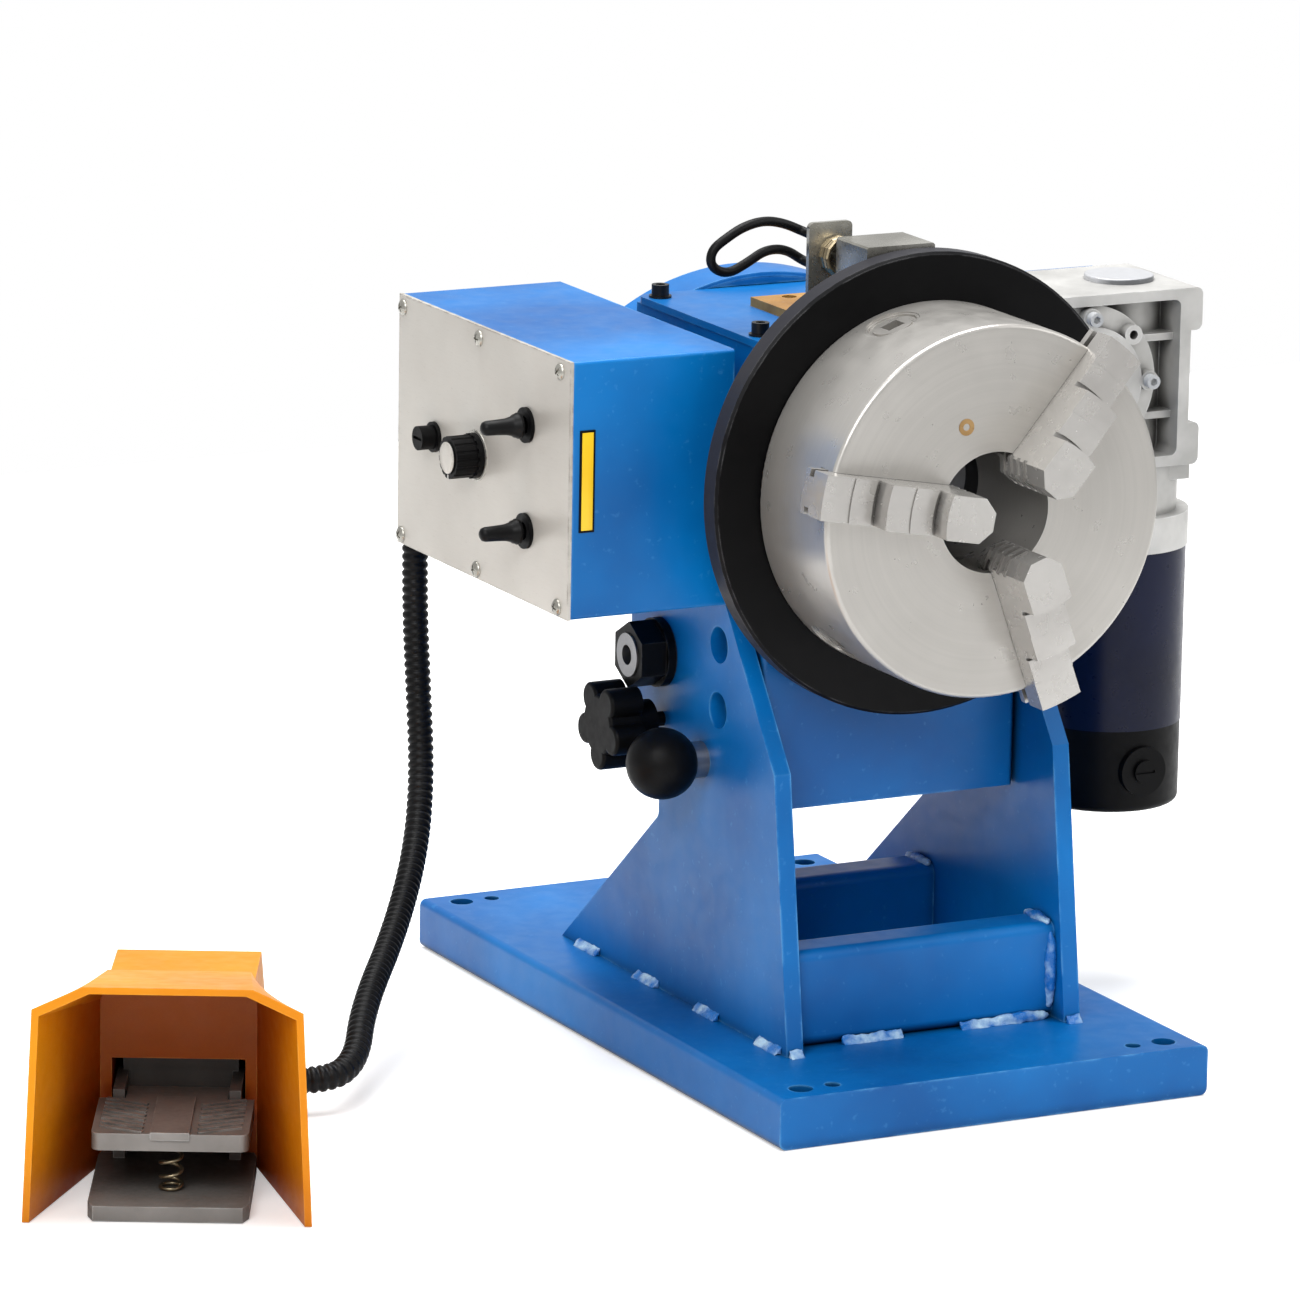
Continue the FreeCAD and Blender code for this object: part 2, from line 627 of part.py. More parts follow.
def make_gearbox():
    x0, x1 = out_x - box_inner, out_x + box_outer - 7
    z0, z1 = out_z - box_half, out_z + box_half
    y0, y1 = box_y, box_y + box_d
    s = box(x0, x1, y0, y1, z0, z1)
    s = s.makeFillet(5.0, edges_along(s, Y))
    pads = [box(x1 - 9, x1 + 7, y0, y1, z, z + 24) for z in (z0, z1 - 24)]
    pads = [p.makeFillet(4.0, edges_along(p, Y, lambda e: e.Vertexes[0].Point.x > x1)) for p in pads]
    s = joined([s] + pads)
    pocket = box(x0 + box_wall, x1 - 7, y0 - 1, y0 + 22, z0 + box_wall, z1 - box_wall)
    s = s.cut(pocket.makeFillet(4.0, edges_along(pocket, Y)))
    back = box(x0 + 7, x1 - 7, y1 - 22, y1 + 1, z0 + 7, z1 - 7)
    s = s.cut(back.makeFillet(4.0, edges_along(back, Y)))
    s = s.fuse(cyl(44.0, V(out_x, y0 + 4, out_z), Y, box_d - 4))
    s = s.fuse(cyl(24.0, V(worm_x, worm_y, z0), Z, z1 - z0))
    for dz in (-22.0, 22.0):
        s = s.fuse(box(out_x + 36, x1 - 3, y0 + 8, y0 + 24, out_z + dz - 2, out_z + dz + 2))
    room = box(out_x - box_inner - 20, out_x + 90, y0 - 5, y1 + 5, z0, z1)
    s = s.common(room).removeSplitter()
    wheel_room = cyl(36.0, V(out_x, y0 + 10, out_z), Y, box_d - 20)
    worm_room = cyl(17.0, V(worm_x, worm_y, z0 + 10), Z, 2 * box_half - 20)
    worm_bore = cyl(worm_shaft_r + RUN, V(worm_x, worm_y, z0 - 1), Z, 2 * box_half + 2)
    shaft_bore = cyl(output_shaft_r + RUN, V(out_x, y0 - 1, out_z), Y, box_d + 2)
    return cut(s, wheel_room, worm_room, worm_bore, shaft_bore)


def make_gearbox_cover():
    """Front cover with six ears on the screw circle."""
    c = V(out_x, box_y - 2, out_z)
    ring = cyl(cover_pcd - 5, c, Y, cover_t)
    ears = []
    for k in range(8):
        a = math.radians(45 * k)
        ears.append(cyl(5.5, c + V(cover_pcd * math.cos(a), 0, cover_pcd * math.sin(a)), Y, cover_t))
    s = joined([ring] + ears)
    s = s.cut(cyl(20.0, c - Y, Y, 3.5))
    for k in range(8):
        a = math.radians(45 * k)
        at = c + V(cover_pcd * math.cos(a), -1, cover_pcd * math.sin(a))
        s = s.cut(cyl(2.6, at, Y, cover_t + 2))
    return s


def make_socket_screws():
    """Screws of the lid, each on a washer, and of the gearbox cover."""
    screws = []
    for x, y in lid_screws():
        screws.append(cap_screw(V(x, y, lid_top + 1.2), Z, 6.0, 1.2 + lid_t))
        screws.append(tube(6.2, 3.0, V(x, y, lid_top), Z, 1.2))
    for k in range(0, 8, 2):
        a = math.radians(45 * k)
        at = V(out_x + cover_pcd * math.cos(a), box_y - 2, out_z + cover_pcd * math.sin(a))
        screws.append(cap_screw(at, -Y, 5.0, cover_t))
    return group(screws)


def make_worm_cap():
    top = out_z + box_half
    s = cyl(19.5, V(worm_x, worm_y, top), Z, 3.0)
    return s.makeFillet(1.0, [e for e in s.Edges if e.BoundBox.ZMin > top + 2])


def make_motor_flange():
    low = out_z - box_half
    s = cyl(motor_r - 6, V(worm_x, worm_y, flange_low), Z, low - flange_low)
    s = s.fuse(box(worm_x - 31, worm_x + 31, worm_y - 31, worm_y + 31, low - 10, low))
    s = s.fuse(cyl(motor_r + 0.8, V(worm_x, worm_y, motor_top), Z, flange_low - motor_top))
    room = cyl(17.0, V(worm_x, worm_y, motor_top - 1), Z, low - 9 - motor_top)
    bore = cyl(worm_shaft_r + RUN, V(worm_x, worm_y, low - 11), Z, 12)
    return cut(s.removeSplitter(), room, bore)


def make_motor_body():
    c = V(worm_x, worm_y, motor_cap_top)
    return tube(motor_r, motor_r - 4, c, Z, motor_top - motor_cap_top)


def make_motor_cap():
    """End cap with a raised pad and slotted plug at each carbon brush."""
    c = V(worm_x, worm_y, motor_low)
    s = cyl(motor_r - 0.3, c, Z, motor_cap_top - motor_low)
    s = s.makeFillet(4.0, [e for e in s.Edges if e.BoundBox.ZMax < motor_low + 0.1])
    for a in (-90.0, 90.0):
        d = V(math.cos(math.radians(a)), math.sin(math.radians(a)), 0)
        at = c + Z * 24 + d * (motor_r - 6)
        side = d.cross(Z)
        pad = cyl(14.0, at, d, 8.0).fuse(cyl(6.5, at, d, 10.0))
        slot = prism([at + side * 6 + Z * 0.8 + d * 9, at - side * 6 + Z * 0.8 + d * 9,
                      at - side * 6 - Z * 0.8 + d * 9, at + side * 6 - Z * 0.8 + d * 9], d * 2)
        s = s.fuse(pad.cut(slot))
    return s.removeSplitter().cut(cyl(motor_r - 5, c + Z * 5, Z, 60))


def make_worm():
    """Rotor, shaft and worm in one turning piece."""
    c = V(worm_x, worm_y, 0)
    rotor = cyl(motor_r - 8, c + Z * (motor_low + 26), Z, 110)
    shaft = cyl(worm_shaft_r, c + Z * (motor_low + 10), Z, out_z + box_half - 3 - motor_low - 10)
    thread = cyl(worm_r, c + Z * (out_z - 24), Z, 48)
    return joined([rotor, shaft, thread])


def make_output_shaft():
    """Worm wheel, shaft and drive gear, which turn as one."""
    output = train_centres()[2]
    y0 = box_y + 6
    shaft = cyl(output_shaft_r, at_y(output, y0), Y, gear_y + gear_face + 4 - y0)
    wheel = cyl(worm_wheel_r, at_y(output, worm_y - 14), Y, 28)
    drive = gear(output_teeth, at_y(output, gear_y), gear_face, 11.0, train_phases()[2])
    return joined([shaft, wheel, drive])


# ---------------------------------------------------------------- control box

def make_control_box():
    x0 = panel_x + panel_t
    outer = box(x0, cbox_right, cbox_front, cbox_rear, cbox_low, cbox_top)
    outer = outer.makeFillet(2.0, edges_along(outer, X))
    w = cbox_wall
    inner = box(x0 - 1, cbox_right - w, cbox_front + w, cbox_rear - w, cbox_low + w, cbox_top - w)
    s = outer.cut(inner)
    return s.cut(cyl(hose_r, V(hose_x, cbox_rear - w - 1, elbow_z), Y, w + 2))


def panel_screw_points():
    ys = (cbox_front + 12.0, (cbox_front + cbox_rear) / 2 + 5.0, cbox_rear - 3.5 - 1.5)
    return [(y, z) for y in ys for z in (cbox_low + 5.0, cbox_top - 7.0)]


def make_control_panel():
    s = box(panel_x, panel_x + panel_t, cbox_front, cbox_rear, cbox_low, cbox_top)
    holes = [(switch_y, z, 6.1) for z in switch_z]
    holes += [(knob_y, knob_z, 4.1), (fuse_y, fuse_z, 6.1)]
    for y, z, r in holes:
        s = s.cut(cyl(r, V(panel_x - 1, y, z), X, 5))
    return s


def make_panel_screws():
    screws = []
    for y, z in panel_screw_points():
        head = cyl(4.2, V(panel_x, y, z), -X, 2.4)
        head = head.makeFillet(1.2, [e for e in head.Edges if e.BoundBox.XMax < panel_x - 2])
        screws.append(head)
    return group(screws)


def make_panel_controls():
    """Two toggle switches, a potentiometer and a fuse holder, fixed in the panel."""
    parts = []
    for z in switch_z:
        at = V(panel_x, switch_y, z)
        body = box(panel_x + 6, panel_x + 34, switch_y - 9, switch_y + 9, z - 14, z + 14)
        bush = tube(6.0, bush_r, at, X, 6.5)
        ring = tube(9.6, bush_r, at, -X, 2.0)
        room = cyl(bush_r, at, X, 10.0)
        parts.append(cut(joined([body, bush, ring]), room))
    c = V(panel_x + panel_t, knob_y, knob_z)
    bush = tube(4.0, 3.1, c - X * panel_t, X, 6)
    parts.append(joined([bush, tube(12.0, 3.1, c + X * 1.5, X, 14)]))
    c = V(panel_x, fuse_y, fuse_z)
    parts.append(joined([tube(6.0, 4.6, c - X * 2.0, X, 40), tube(8.4, 4.6, c - X * 2.0, X, 2.0)]))
    return group(parts)


def make_toggle(z):
    """Lever in a rubber boot with a rounded tip, swinging about a pin in its bush."""
    c = V(panel_x + 2, switch_y, z)
    ball = Part.makeSphere(bush_r - RUN, c)
    skirt = Part.makeCone(6.4, 4.8, 8, c - X * 5.8, -X)
    rib = cyl(5.4, c - X * 14.0, -X, 2.5)
    stem = Part.makeCone(3.8, 3.3, 23, c - X * 3, -X)
    tip = Part.makeSphere(4.0, c - X * 25)
    return joined([ball, stem, tip, skirt, rib])


def make_speed_knob():
    c = V(panel_x - 0.5, knob_y, knob_z)
    skirt = cyl(12.3, c, -X, 4)
    grip = cyl(11.6, c - X * 4, -X, 12)
    flutes = []
    for k in range(16):
        a = math.radians(22.5 * k)
        flutes.append(cyl(1.3, c + V(-3, 12.3 * math.cos(a), 12.3 * math.sin(a)), -X, 14))
    s = joined([skirt, grip])
    s = cut(s, *flutes)
    disc = cyl(9.0, c - X * 15.5, -X, 1.2)
    spindle = cyl(3.0, c + X * 12, -X, 14)
    return joined([s, disc, spindle])


def make_fuse_cap():
    c = V(panel_x - 2.2, fuse_y, fuse_z)
    s = joined([cyl(6.6, c, -X, 8.5), cyl(4.4, c + X * 14, -X, 15)])
    s = s.cut(box(c.x - 9, c.x - 7, c.y - 5, c.y + 5, c.z - 0.8, c.z + 0.8))
    return s


def make_circuit_board():
    """Speed control board on four posts, with its transformer and heat sink."""
    x, t = cbox_right - 20, 1.6
    parts = [box(x, x + t, cbox_front + 15, cbox_rear - 15, cbox_low + 15, cbox_top - 15)]
    parts.append(box(x - 32, x, 40, 90, 290, 340))
    fins = [box(x - 22, x, -50 + 7 * k, -47 + 7 * k, 290, 360) for k in range(6)]
    fins.append(box(x - 3, x, -50, -12, 290, 360))
    parts.append(joined(fins))
    for y in (cbox_front + 22, cbox_rear - 22):
        for z in (cbox_low + 22, cbox_top - 22):
            parts.append(cyl(3.0, V(x + t, y, z), X, 20 - t - cbox_wall))
    return group(parts)


def make_box_mount():
    """Spacer between the head's wall and the control box, above the upright."""
    return box(cbox_right, -head_in, -50, 45, upright_top + 16, cbox_top - 22)


# ---------------------------------------------------------------- earth brush

def make_copper_bar():
    s = box(bar_x[0], bar_x[1], bar_y[0], bar_y[1], lid_top, lid_top + bar_t)
    return s.cut(cyl(4.2, V(-16, 2, lid_top - 1), Z, 10))


def make_brush_bracket():
    z0 = lid_top + bar_t
    leaf = box(leaf_x[0], leaf_x[1], leaf_y, leaf_y + leaf_t, z0, leaf_top)
    leaf = leaf.makeFillet(3.0, edges_along(leaf, Y, lambda e: e.Vertexes[0].Point.z > z0 + 5))
    foot = box(bar_x[0], leaf_x[1], leaf_y, leaf_y + 26, z0, z0 + leaf_t)
    c = V(brush_spring_x, brush_y - brush_rod_l, brush_spring_z)
    rod = cyl(brush_rod_r, c, Y, leaf_y - c.y + 1)
    nut = hexagon(10.0, V(c.x, leaf_y + leaf_t, c.z), Y, 4)
    return joined([leaf, foot, rod, nut])


def make_brush_holder():
    y0 = faceplate_back + GAP
    s = box(brush_x[0] - 4, brush_x[1], y0, brush_y, brush_z[0], brush_z[1])
    s = s.makeChamfer(1.0, edges_along(s, Y))
    at = V(brush_spring_x, brush_y - brush_rod_l - GAP, brush_spring_z)
    return s.cut(cyl(brush_rod_r + RUN, at, Y, 20))


def spring_path(r, turns, start, along, length):
    """Straight-sided helix, twelve corners to a turn."""
    side = Z if abs(along.z) < 0.5 else X
    other = along.cross(side)
    pts = []
    n = turns * 12
    for k in range(n + 1):
        a = 2 * math.pi * k / 12
        pts.append(start + along * (length * k / n) + side * (r * math.cos(a))
                   + other * (r * math.sin(a)))
    return pts


def make_spring(r, wire, turns, start, along, length):
    pts = spring_path(r - wire, turns, start + along * wire, along, length - 2 * wire)
    path = Part.makePolygon(pts)
    d = (pts[1] - pts[0]).normalize()
    ring = Part.Wire(Part.makePolygon([pts[0] + v for v in hex_round(d, wire)]))
    s = path.makePipeShell([ring], True, False, 1)
    return s


def hex_round(direction, r):
    side = direction.cross(Z if abs(direction.z) < 0.8 else X).normalize()
    other = direction.cross(side).normalize()
    return [side * (r * math.cos(math.radians(a))) + other * (r * math.sin(math.radians(a)))
            for a in range(0, 361, 60)]


def make_brush_spring():
    length = leaf_y - brush_y - 0.2
    return make_spring(brush_spring_r, 1.2, 4, V(brush_spring_x, brush_y + 0.1, brush_spring_z),
                       Y, length)


# ---------------------------------------------------------------- cords

def rounded_path(points, name):
    """Straight runs joined by arcs as large as the runs allow."""
    arcs = []
    for a, b, c in zip(points, points[1:], points[2:]):
        d1, d2 = (a - b).normalize(), (c - b).normalize()
        turn = math.pi - d1.getAngle(d2)
        reach = 0.45 * min((a - b).Length, (c - b).Length)
        r = reach / math.tan(turn / 2)
        mid = b + (d1 + d2).normalize() * (math.hypot(r, reach) - r)
        arcs.append((b + d1 * reach, mid, b + d2 * reach, r))
    print(name, "radii", [round(a[3], 1) for a in arcs])
    edges, at = [], points[0]
    for start, mid, end, r in arcs:
        edges.append(Part.LineSegment(at, start).toShape())
        edges.append(Part.Arc(start, mid, end).toShape())
        at = end
    edges.append(Part.LineSegment(at, points[-1]).toShape())
    return Part.Wire(edges)


def make_cord(points, r, name):
    path = rounded_path(points, name)
    ring = Part.Wire(Part.makeCircle(r, points[0], points[1] - points[0]))
    s = path.makePipeShell([ring], True, True)
    ratio = s.Volume / (math.pi * r * r * path.Length)
    print(name, "length", round(path.Length, 1), "volume ratio", round(ratio, 4))
    return s


def pedal_point(across, back, z):
    a = math.radians(pedal_yaw)
    return pedal_at + V(math.cos(a) * across - math.sin(a) * back,
                        math.sin(a) * across + math.cos(a) * back, z)


hose_x, hose_y, hose_top = -172.0, 143.0, 262.0
elbow_z, elbow_r = 282.0, 8.8
cord_hole_r = hose_r - 1.6

hose_points = [V(hose_x, hose_y, hose_top), V(hose_x, hose_y, 221), V(-170, 141, 172),
               V(-174, 127, 127), V(-191, 98, 92), V(-225, 52, 62), V(-275, -14, 41),
               V(-296, -51, 23), pedal_point(hose_end_out + 26, gland_y, hose_z),
               pedal_point(hose_end_out, gland_y, hose_z)]

lead_points = [V(-34, leaf_y + leaf_t, 453), V(-34, -49, 453), V(-47, -49, 459), V(-61, -52, 462),
               V(-75, -55, 460), V(-86, -57, 455), V(-95, -57, 449), V(-95, -56, 440),
               V(-85, -56, 435), V(-72, -54, 440), V(-60, -52, 446), V(-46, -49, 445),
               V(-34, -48, 437), V(-34, leaf_y + leaf_t, 437)]


def make_hose():
    return make_cord(hose_points, hose_r, "hose")


def make_brush_lead():
    return make_cord(lead_points, lead_r, "brush_lead")


def make_box_gland():
    """Elbow gland: through the rear wall, then down to the hose."""
    c = V(hose_x, cbox_rear, elbow_z)
    turn = V(hose_x, hose_y, elbow_z)
    down = elbow_z - hose_top
    bore = cord_hole_r
    nut = hexagon(22.0, c, Y, 5)
    body = joined([nut, cyl(elbow_r, c, Y, hose_y - cbox_rear), Part.makeSphere(elbow_r, turn),
                   cyl(elbow_r, turn, -Z, down), cyl(hose_r, c - Y * cbox_wall, Y, cbox_wall),
                   cyl(10.5, c - Y * (cbox_wall + 4), Y, 4)])
    return cut(body, cyl(bore, c - Y * 10, Y, hose_y - cbox_rear + 10), Part.makeSphere(bore, turn),
               cyl(bore, turn, -Z, down + 1))


# ---------------------------------------------------------------- foot pedal

def hood_section(profile, back, inset):
    """Closed outline of the hood's flared section at a distance from its mouth."""
    pts = []
    for n, (half, z) in enumerate(profile):
        pts.append((half - inset, z - (inset if z > 0 else 1.0 if inset else 0)))
    ring = pts + [(-x, z) for x, z in pts[::-1]]
    wire = [V(x, back, z) for x, z in ring]
    return Part.makePolygon(wire + [wire[0]])


def make_pedal_guard():
    outer = Part.makeLoft([hood_section(guard_front, 0, 0), hood_section(guard_back, hood_l, 0)], True, True)
    w = hood_wall
    inner = Part.makeLoft([hood_section(guard_front, -0.5, w), hood_section(guard_back, hood_l + 0.5, w)],
                          True, True)
    wall = Part.Face(hood_section(guard_back, hood_l, 0)).extrude(V(0, -w, 0))
    return placed(cut(joined([outer.cut(inner), wall]), pedal_slot()))


def pedal_slot():
    """Way for the treadle through the walls between hood and shell."""
    half = shell_half - hood_wall
    return box(-half, half, hood_l - hood_wall - 1, hood_l + hood_wall + 1, -1, slot_top)


def placed(shape):
    s = shape.copy()
    s.rotate(V(0, 0, 0), Z, pedal_yaw)
    s.translate(pedal_at)
    return s


def make_pedal_shell():
    """Rear housing over the switch, open below where the base plate closes it."""
    y0, y1 = hood_l, shell_l
    prof = [V(0, y0, 0), V(0, y0, shell_h), V(0, gland_y, shell_h - shell_drop),
            V(0, y1, shell_h - shell_tail), V(0, y1, 0)]
    s = prism([p - X * shell_half for p in prof], V(2 * shell_half, 0, 0))
    s = s.makeFillet(6.0, edges_along(s, X, lambda e: e.Vertexes[0].Point.z > 20
                                      and e.Vertexes[0].Point.y > y0 + 10))
    w = hood_wall
    cav = [V(0, y0 + w, -1), V(0, y0 + w, shell_h - w), V(0, y1 - 42, shell_h - 6 - w),
           V(0, y1 - w, shell_h - 42), V(0, y1 - w, -1)]
    s = s.cut(prism([p - X * (shell_half - w) for p in cav], V(2 * (shell_half - w), 0, 0)))
    s = s.cut(pedal_slot())
    s = s.cut(cyl(cord_hole_r, V(20, 200, hose_z), X, 30))
    return placed(s)


def make_pedal_base():
    t = pedal_plate_t
    h = pedal_plate_half
    inner = shell_half - hood_wall
    front = hood_l - hood_wall - GAP
    side = [(h - 3, 4), (h, 12), (h, front - 8), (h - 1.5, front), (inner, front),
            (inner, shell_l - hood_wall)]
    pts = [V(u, v, 0) for u, v in side] + [V(-u, v, 0) for u, v in side[::-1]]
    plate = prism(pts, V(0, 0, t))
    half = cheek_t / 2
    cheeks = [box(sx * cheek_u - half, sx * cheek_u + half, treadle_y - 12, treadle_y + 30, t - 1, tread_z + 4)
              for sx in (-1, 1)]
    wall = box(-30, 30, treadle_y + 24, treadle_y + 30, t - 1, tread_z + 20)
    pin = cyl(treadle_pin_r, V(-treadle_pin_half, treadle_y, tread_z - 8), X, 2 * treadle_pin_half)
    return placed(joined([plate, wall, pin] + cheeks))


def make_treadle():
    """Ribbed foot plate with a raised middle, on two lugs round the pin."""
    z1, z0 = tread_z, tread_z - tread_t
    s = box(-tread_half, tread_half, tread_front, treadle_y - 14, z0, z1)
    s = s.makeFillet(5.0, edges_along(s, Z, lambda e: e.Vertexes[0].Point.y < tread_front + 1))
    s = s.cut(box(-tread_half + 3, tread_half - 3, tread_front + 3, treadle_y - 17, z0 - 1, z1 - 4))
    inner = cheek_u - cheek_t / 2 - 0.6
    tongue = box(-inner, inner, treadle_y - 15, treadle_y + 8, z0, z1)
    lug = box(-24, 24, treadle_y - 8, treadle_y + 6, tread_z - 14, z1 - 1)
    boss = box(-10, 10, tread_front - 1.5, treadle_y - 14, z1 - 3, z1 + 1.2)
    s = joined([s, tongue, lug, boss])
    ribs = []
    for k in range(8):
        for sx in (-1, 1):
            rib = box(sx * 25 - 12, sx * 25 + 12, tread_front + 6 + 7 * k, tread_front + 8.5 + 7 * k,
                      z1 - 0.5, z1 + 1.0)
            rib = turned(rib, V(sx * 25, tread_front + 7 + 7 * k, z1), Z, sx * 25)
            ribs.append(rib)
    s = joined([s] + ribs)
    reach = tread_half + 10
    return placed(s.cut(cyl(treadle_pin_r + RUN, V(-reach, treadle_y, tread_z - 8), X, 2 * reach)))


def make_pedal_spring():
    z0 = pedal_plate_t + 0.1
    length = tread_z - 4 - z0 - 0.2
    return placed(make_spring(6.5, 1.0, 5, V(0, 36, z0), Z, length))


def make_pedal_gland():
    c = V(shell_half, gland_y, hose_z)
    nut = hexagon(22.0, c, X, 8).cut(cyl(cord_hole_r, c - X, X, 40))
    body = tube(10.5, cord_hole_r, c, X, hose_end_out - shell_half)
    return placed(joined([nut, body]))


def build():
    spindle, idler, output = train_centres()
    spindle_phase, idler_phase, output_phase = train_phases()
    nodes = {
        "base_plate": make_base_plate(),
        "left_upright": make_upright(-1),
        "right_upright": make_upright(1),
        "cross_tubes": group([make_cross_tube(front_tube_y), make_cross_tube(rear_tube_y)]),
        "weld_beads": make_weld_beads(),
        "star_knob": make_star_knob(),
        "index_pin": make_index_pin(),
        "index_ball": make_index_ball(),
        "head_housing": make_head_housing(),
        "head_lid": make_lid(),
        "socket_screws": make_socket_screws(),
        "gear_plate": make_gear_plate(),
        "gear_guard": make_gear_guard(),
        "pivot_pins": make_pivot_pins(),
        "pivot_nuts": make_pivot_nuts(),
        "spindle_bearings": group([make_bearing(head_front + 4),
                                   make_bearing(plate_y + plate_t - bearing_w)]),
        "gearbox": make_gearbox(),
        "gearbox_cover": make_gearbox_cover(),
        "worm_cap": make_worm_cap(),
        "motor_flange": make_motor_flange(),
        "motor_body": make_motor_body(),
        "motor_cap": make_motor_cap(),
        "control_box": make_control_box(),
        "control_panel": make_control_panel(),
        "panel_screws": make_panel_screws(),
        "panel_controls": make_panel_controls(),
        "box_mount": make_box_mount(),
        "circuit_board": make_circuit_board(),
        "box_gland": make_box_gland(),
        "copper_bar": make_copper_bar(),
        "brush_bracket": make_brush_bracket(),
        "brush_spring": make_brush_spring(),
        "brush_holder": make_brush_holder(),
        "brush_lead": make_brush_lead(),
        "spindle": make_spindle(),
        "spindle_gear": gear(spindle_teeth, at_y(spindle, gear_y), gear_face, spindle_r,
                             spindle_phase),
        "faceplate": make_faceplate(),
        "chuck_body": make_chuck_body(),
        "chuck_back": make_chuck_back(),
        "idler_gear": gear(idler_teeth, at_y(idler, gear_y), gear_face, idler_stud_r + RUN,
                           idler_phase),
        "output_shaft": make_output_shaft(),
        "worm_and_rotor": make_worm(),
        "scroll": make_scroll(),
        "pedal_switch_lever": make_toggle(switch_z[0]),
        "direction_lever": make_toggle(switch_z[1]),
        "speed_knob": make_speed_knob(),
        "fuse_cap": make_fuse_cap(),
        "pedal_guard": make_pedal_guard(),
        "pedal_shell": make_pedal_shell(),
        "pedal_base": make_pedal_base(),
        "treadle": make_treadle(),
        "pedal_spring": make_pedal_spring(),
        "pedal_gland": make_pedal_gland(),
        "hose": make_hose(),
    }
    for n, a in enumerate(jaw_angles, 1):
        nodes["jaw_%d" % n] = make_jaw(a)
    for n, a in enumerate(pinion_angles(), 1):
        nodes["pinion_%d" % n] = make_pinion(a)
    return nodes


if __name__ == "__main__":
    os.makedirs("parts", exist_ok=True)
    for name, shape in build().items():
        shape.exportStep("parts/" + name + ".step")
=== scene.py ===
import bpy
import bmesh
import json
import math
from mathutils import Matrix, Vector


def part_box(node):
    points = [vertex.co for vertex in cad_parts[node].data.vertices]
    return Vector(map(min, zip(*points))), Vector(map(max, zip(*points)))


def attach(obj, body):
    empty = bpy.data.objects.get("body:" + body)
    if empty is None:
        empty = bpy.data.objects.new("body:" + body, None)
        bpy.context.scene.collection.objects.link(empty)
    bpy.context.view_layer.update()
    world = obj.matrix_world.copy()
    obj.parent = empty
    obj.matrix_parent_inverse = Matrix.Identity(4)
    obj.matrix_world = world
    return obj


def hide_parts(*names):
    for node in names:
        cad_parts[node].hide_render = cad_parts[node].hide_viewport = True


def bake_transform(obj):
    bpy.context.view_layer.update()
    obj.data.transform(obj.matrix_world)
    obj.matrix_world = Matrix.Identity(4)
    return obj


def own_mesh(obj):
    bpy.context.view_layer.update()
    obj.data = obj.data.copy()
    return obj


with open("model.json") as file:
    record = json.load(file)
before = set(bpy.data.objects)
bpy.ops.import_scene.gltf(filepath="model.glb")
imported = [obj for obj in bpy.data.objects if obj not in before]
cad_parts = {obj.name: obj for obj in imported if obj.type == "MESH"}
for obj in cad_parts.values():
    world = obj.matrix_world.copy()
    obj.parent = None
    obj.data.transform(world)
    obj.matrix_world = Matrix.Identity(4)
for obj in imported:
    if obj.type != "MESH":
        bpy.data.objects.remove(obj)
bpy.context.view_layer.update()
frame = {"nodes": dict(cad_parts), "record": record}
scene = bpy.context.scene


# display bytes to linear light
def srgb(r, g, b):
    return tuple(((c / 255 + 0.055) / 1.055) ** 2.4 if c > 10 else c / 3294.6 for c in (r, g, b)) + (1.0,)


# camera and light
camera = {"place": (-2.0374, -3.7710, 1.2200), "azimuth": -27.32, "elevation": 13.21, "roll": 1.0,
          "lens": 222.2, "shift": (-0.01134, -0.00762)}


def addCamera(values):
    az, el, roll = (math.radians(values[k]) for k in ("azimuth", "elevation", "roll"))
    back = Vector((math.sin(az) * math.cos(el), -math.cos(az) * math.cos(el), math.sin(el)))
    right = Vector((0, 0, 1)).cross(back).normalized()
    up = back.cross(right)
    side = math.cos(roll) * right + math.sin(roll) * up
    top = -math.sin(roll) * right + math.cos(roll) * up
    bpy.ops.object.camera_add()
    cam = bpy.context.object
    turn = Matrix((side, top, back)).transposed().to_4x4()
    cam.matrix_world = Matrix.Translation(values["place"]) @ turn
    cam.data.lens = values["lens"]
    cam.data.sensor_width = 36
    cam.data.shift_x, cam.data.shift_y = values["shift"]
    cam.data.clip_end = 50
    scene.camera = cam


studio = {"floor": (0.90, 0.90, 0.90, 1), "floorRough": 0.9, "floorSpecular": 0.1, "drop": 0.0004,
          "glow": 0.30, "world": 0.36, "sheen": 0.5, "size": 3.0, "aim": (0, 0, 0.2),
          "lamps": (((-2.4, -2.6, 2.9), 2.2, 108), ((2.8, -1.6, 2.0), 2.2, 32), ((0.1, 0.5, 3.3), 2.6, 150))}


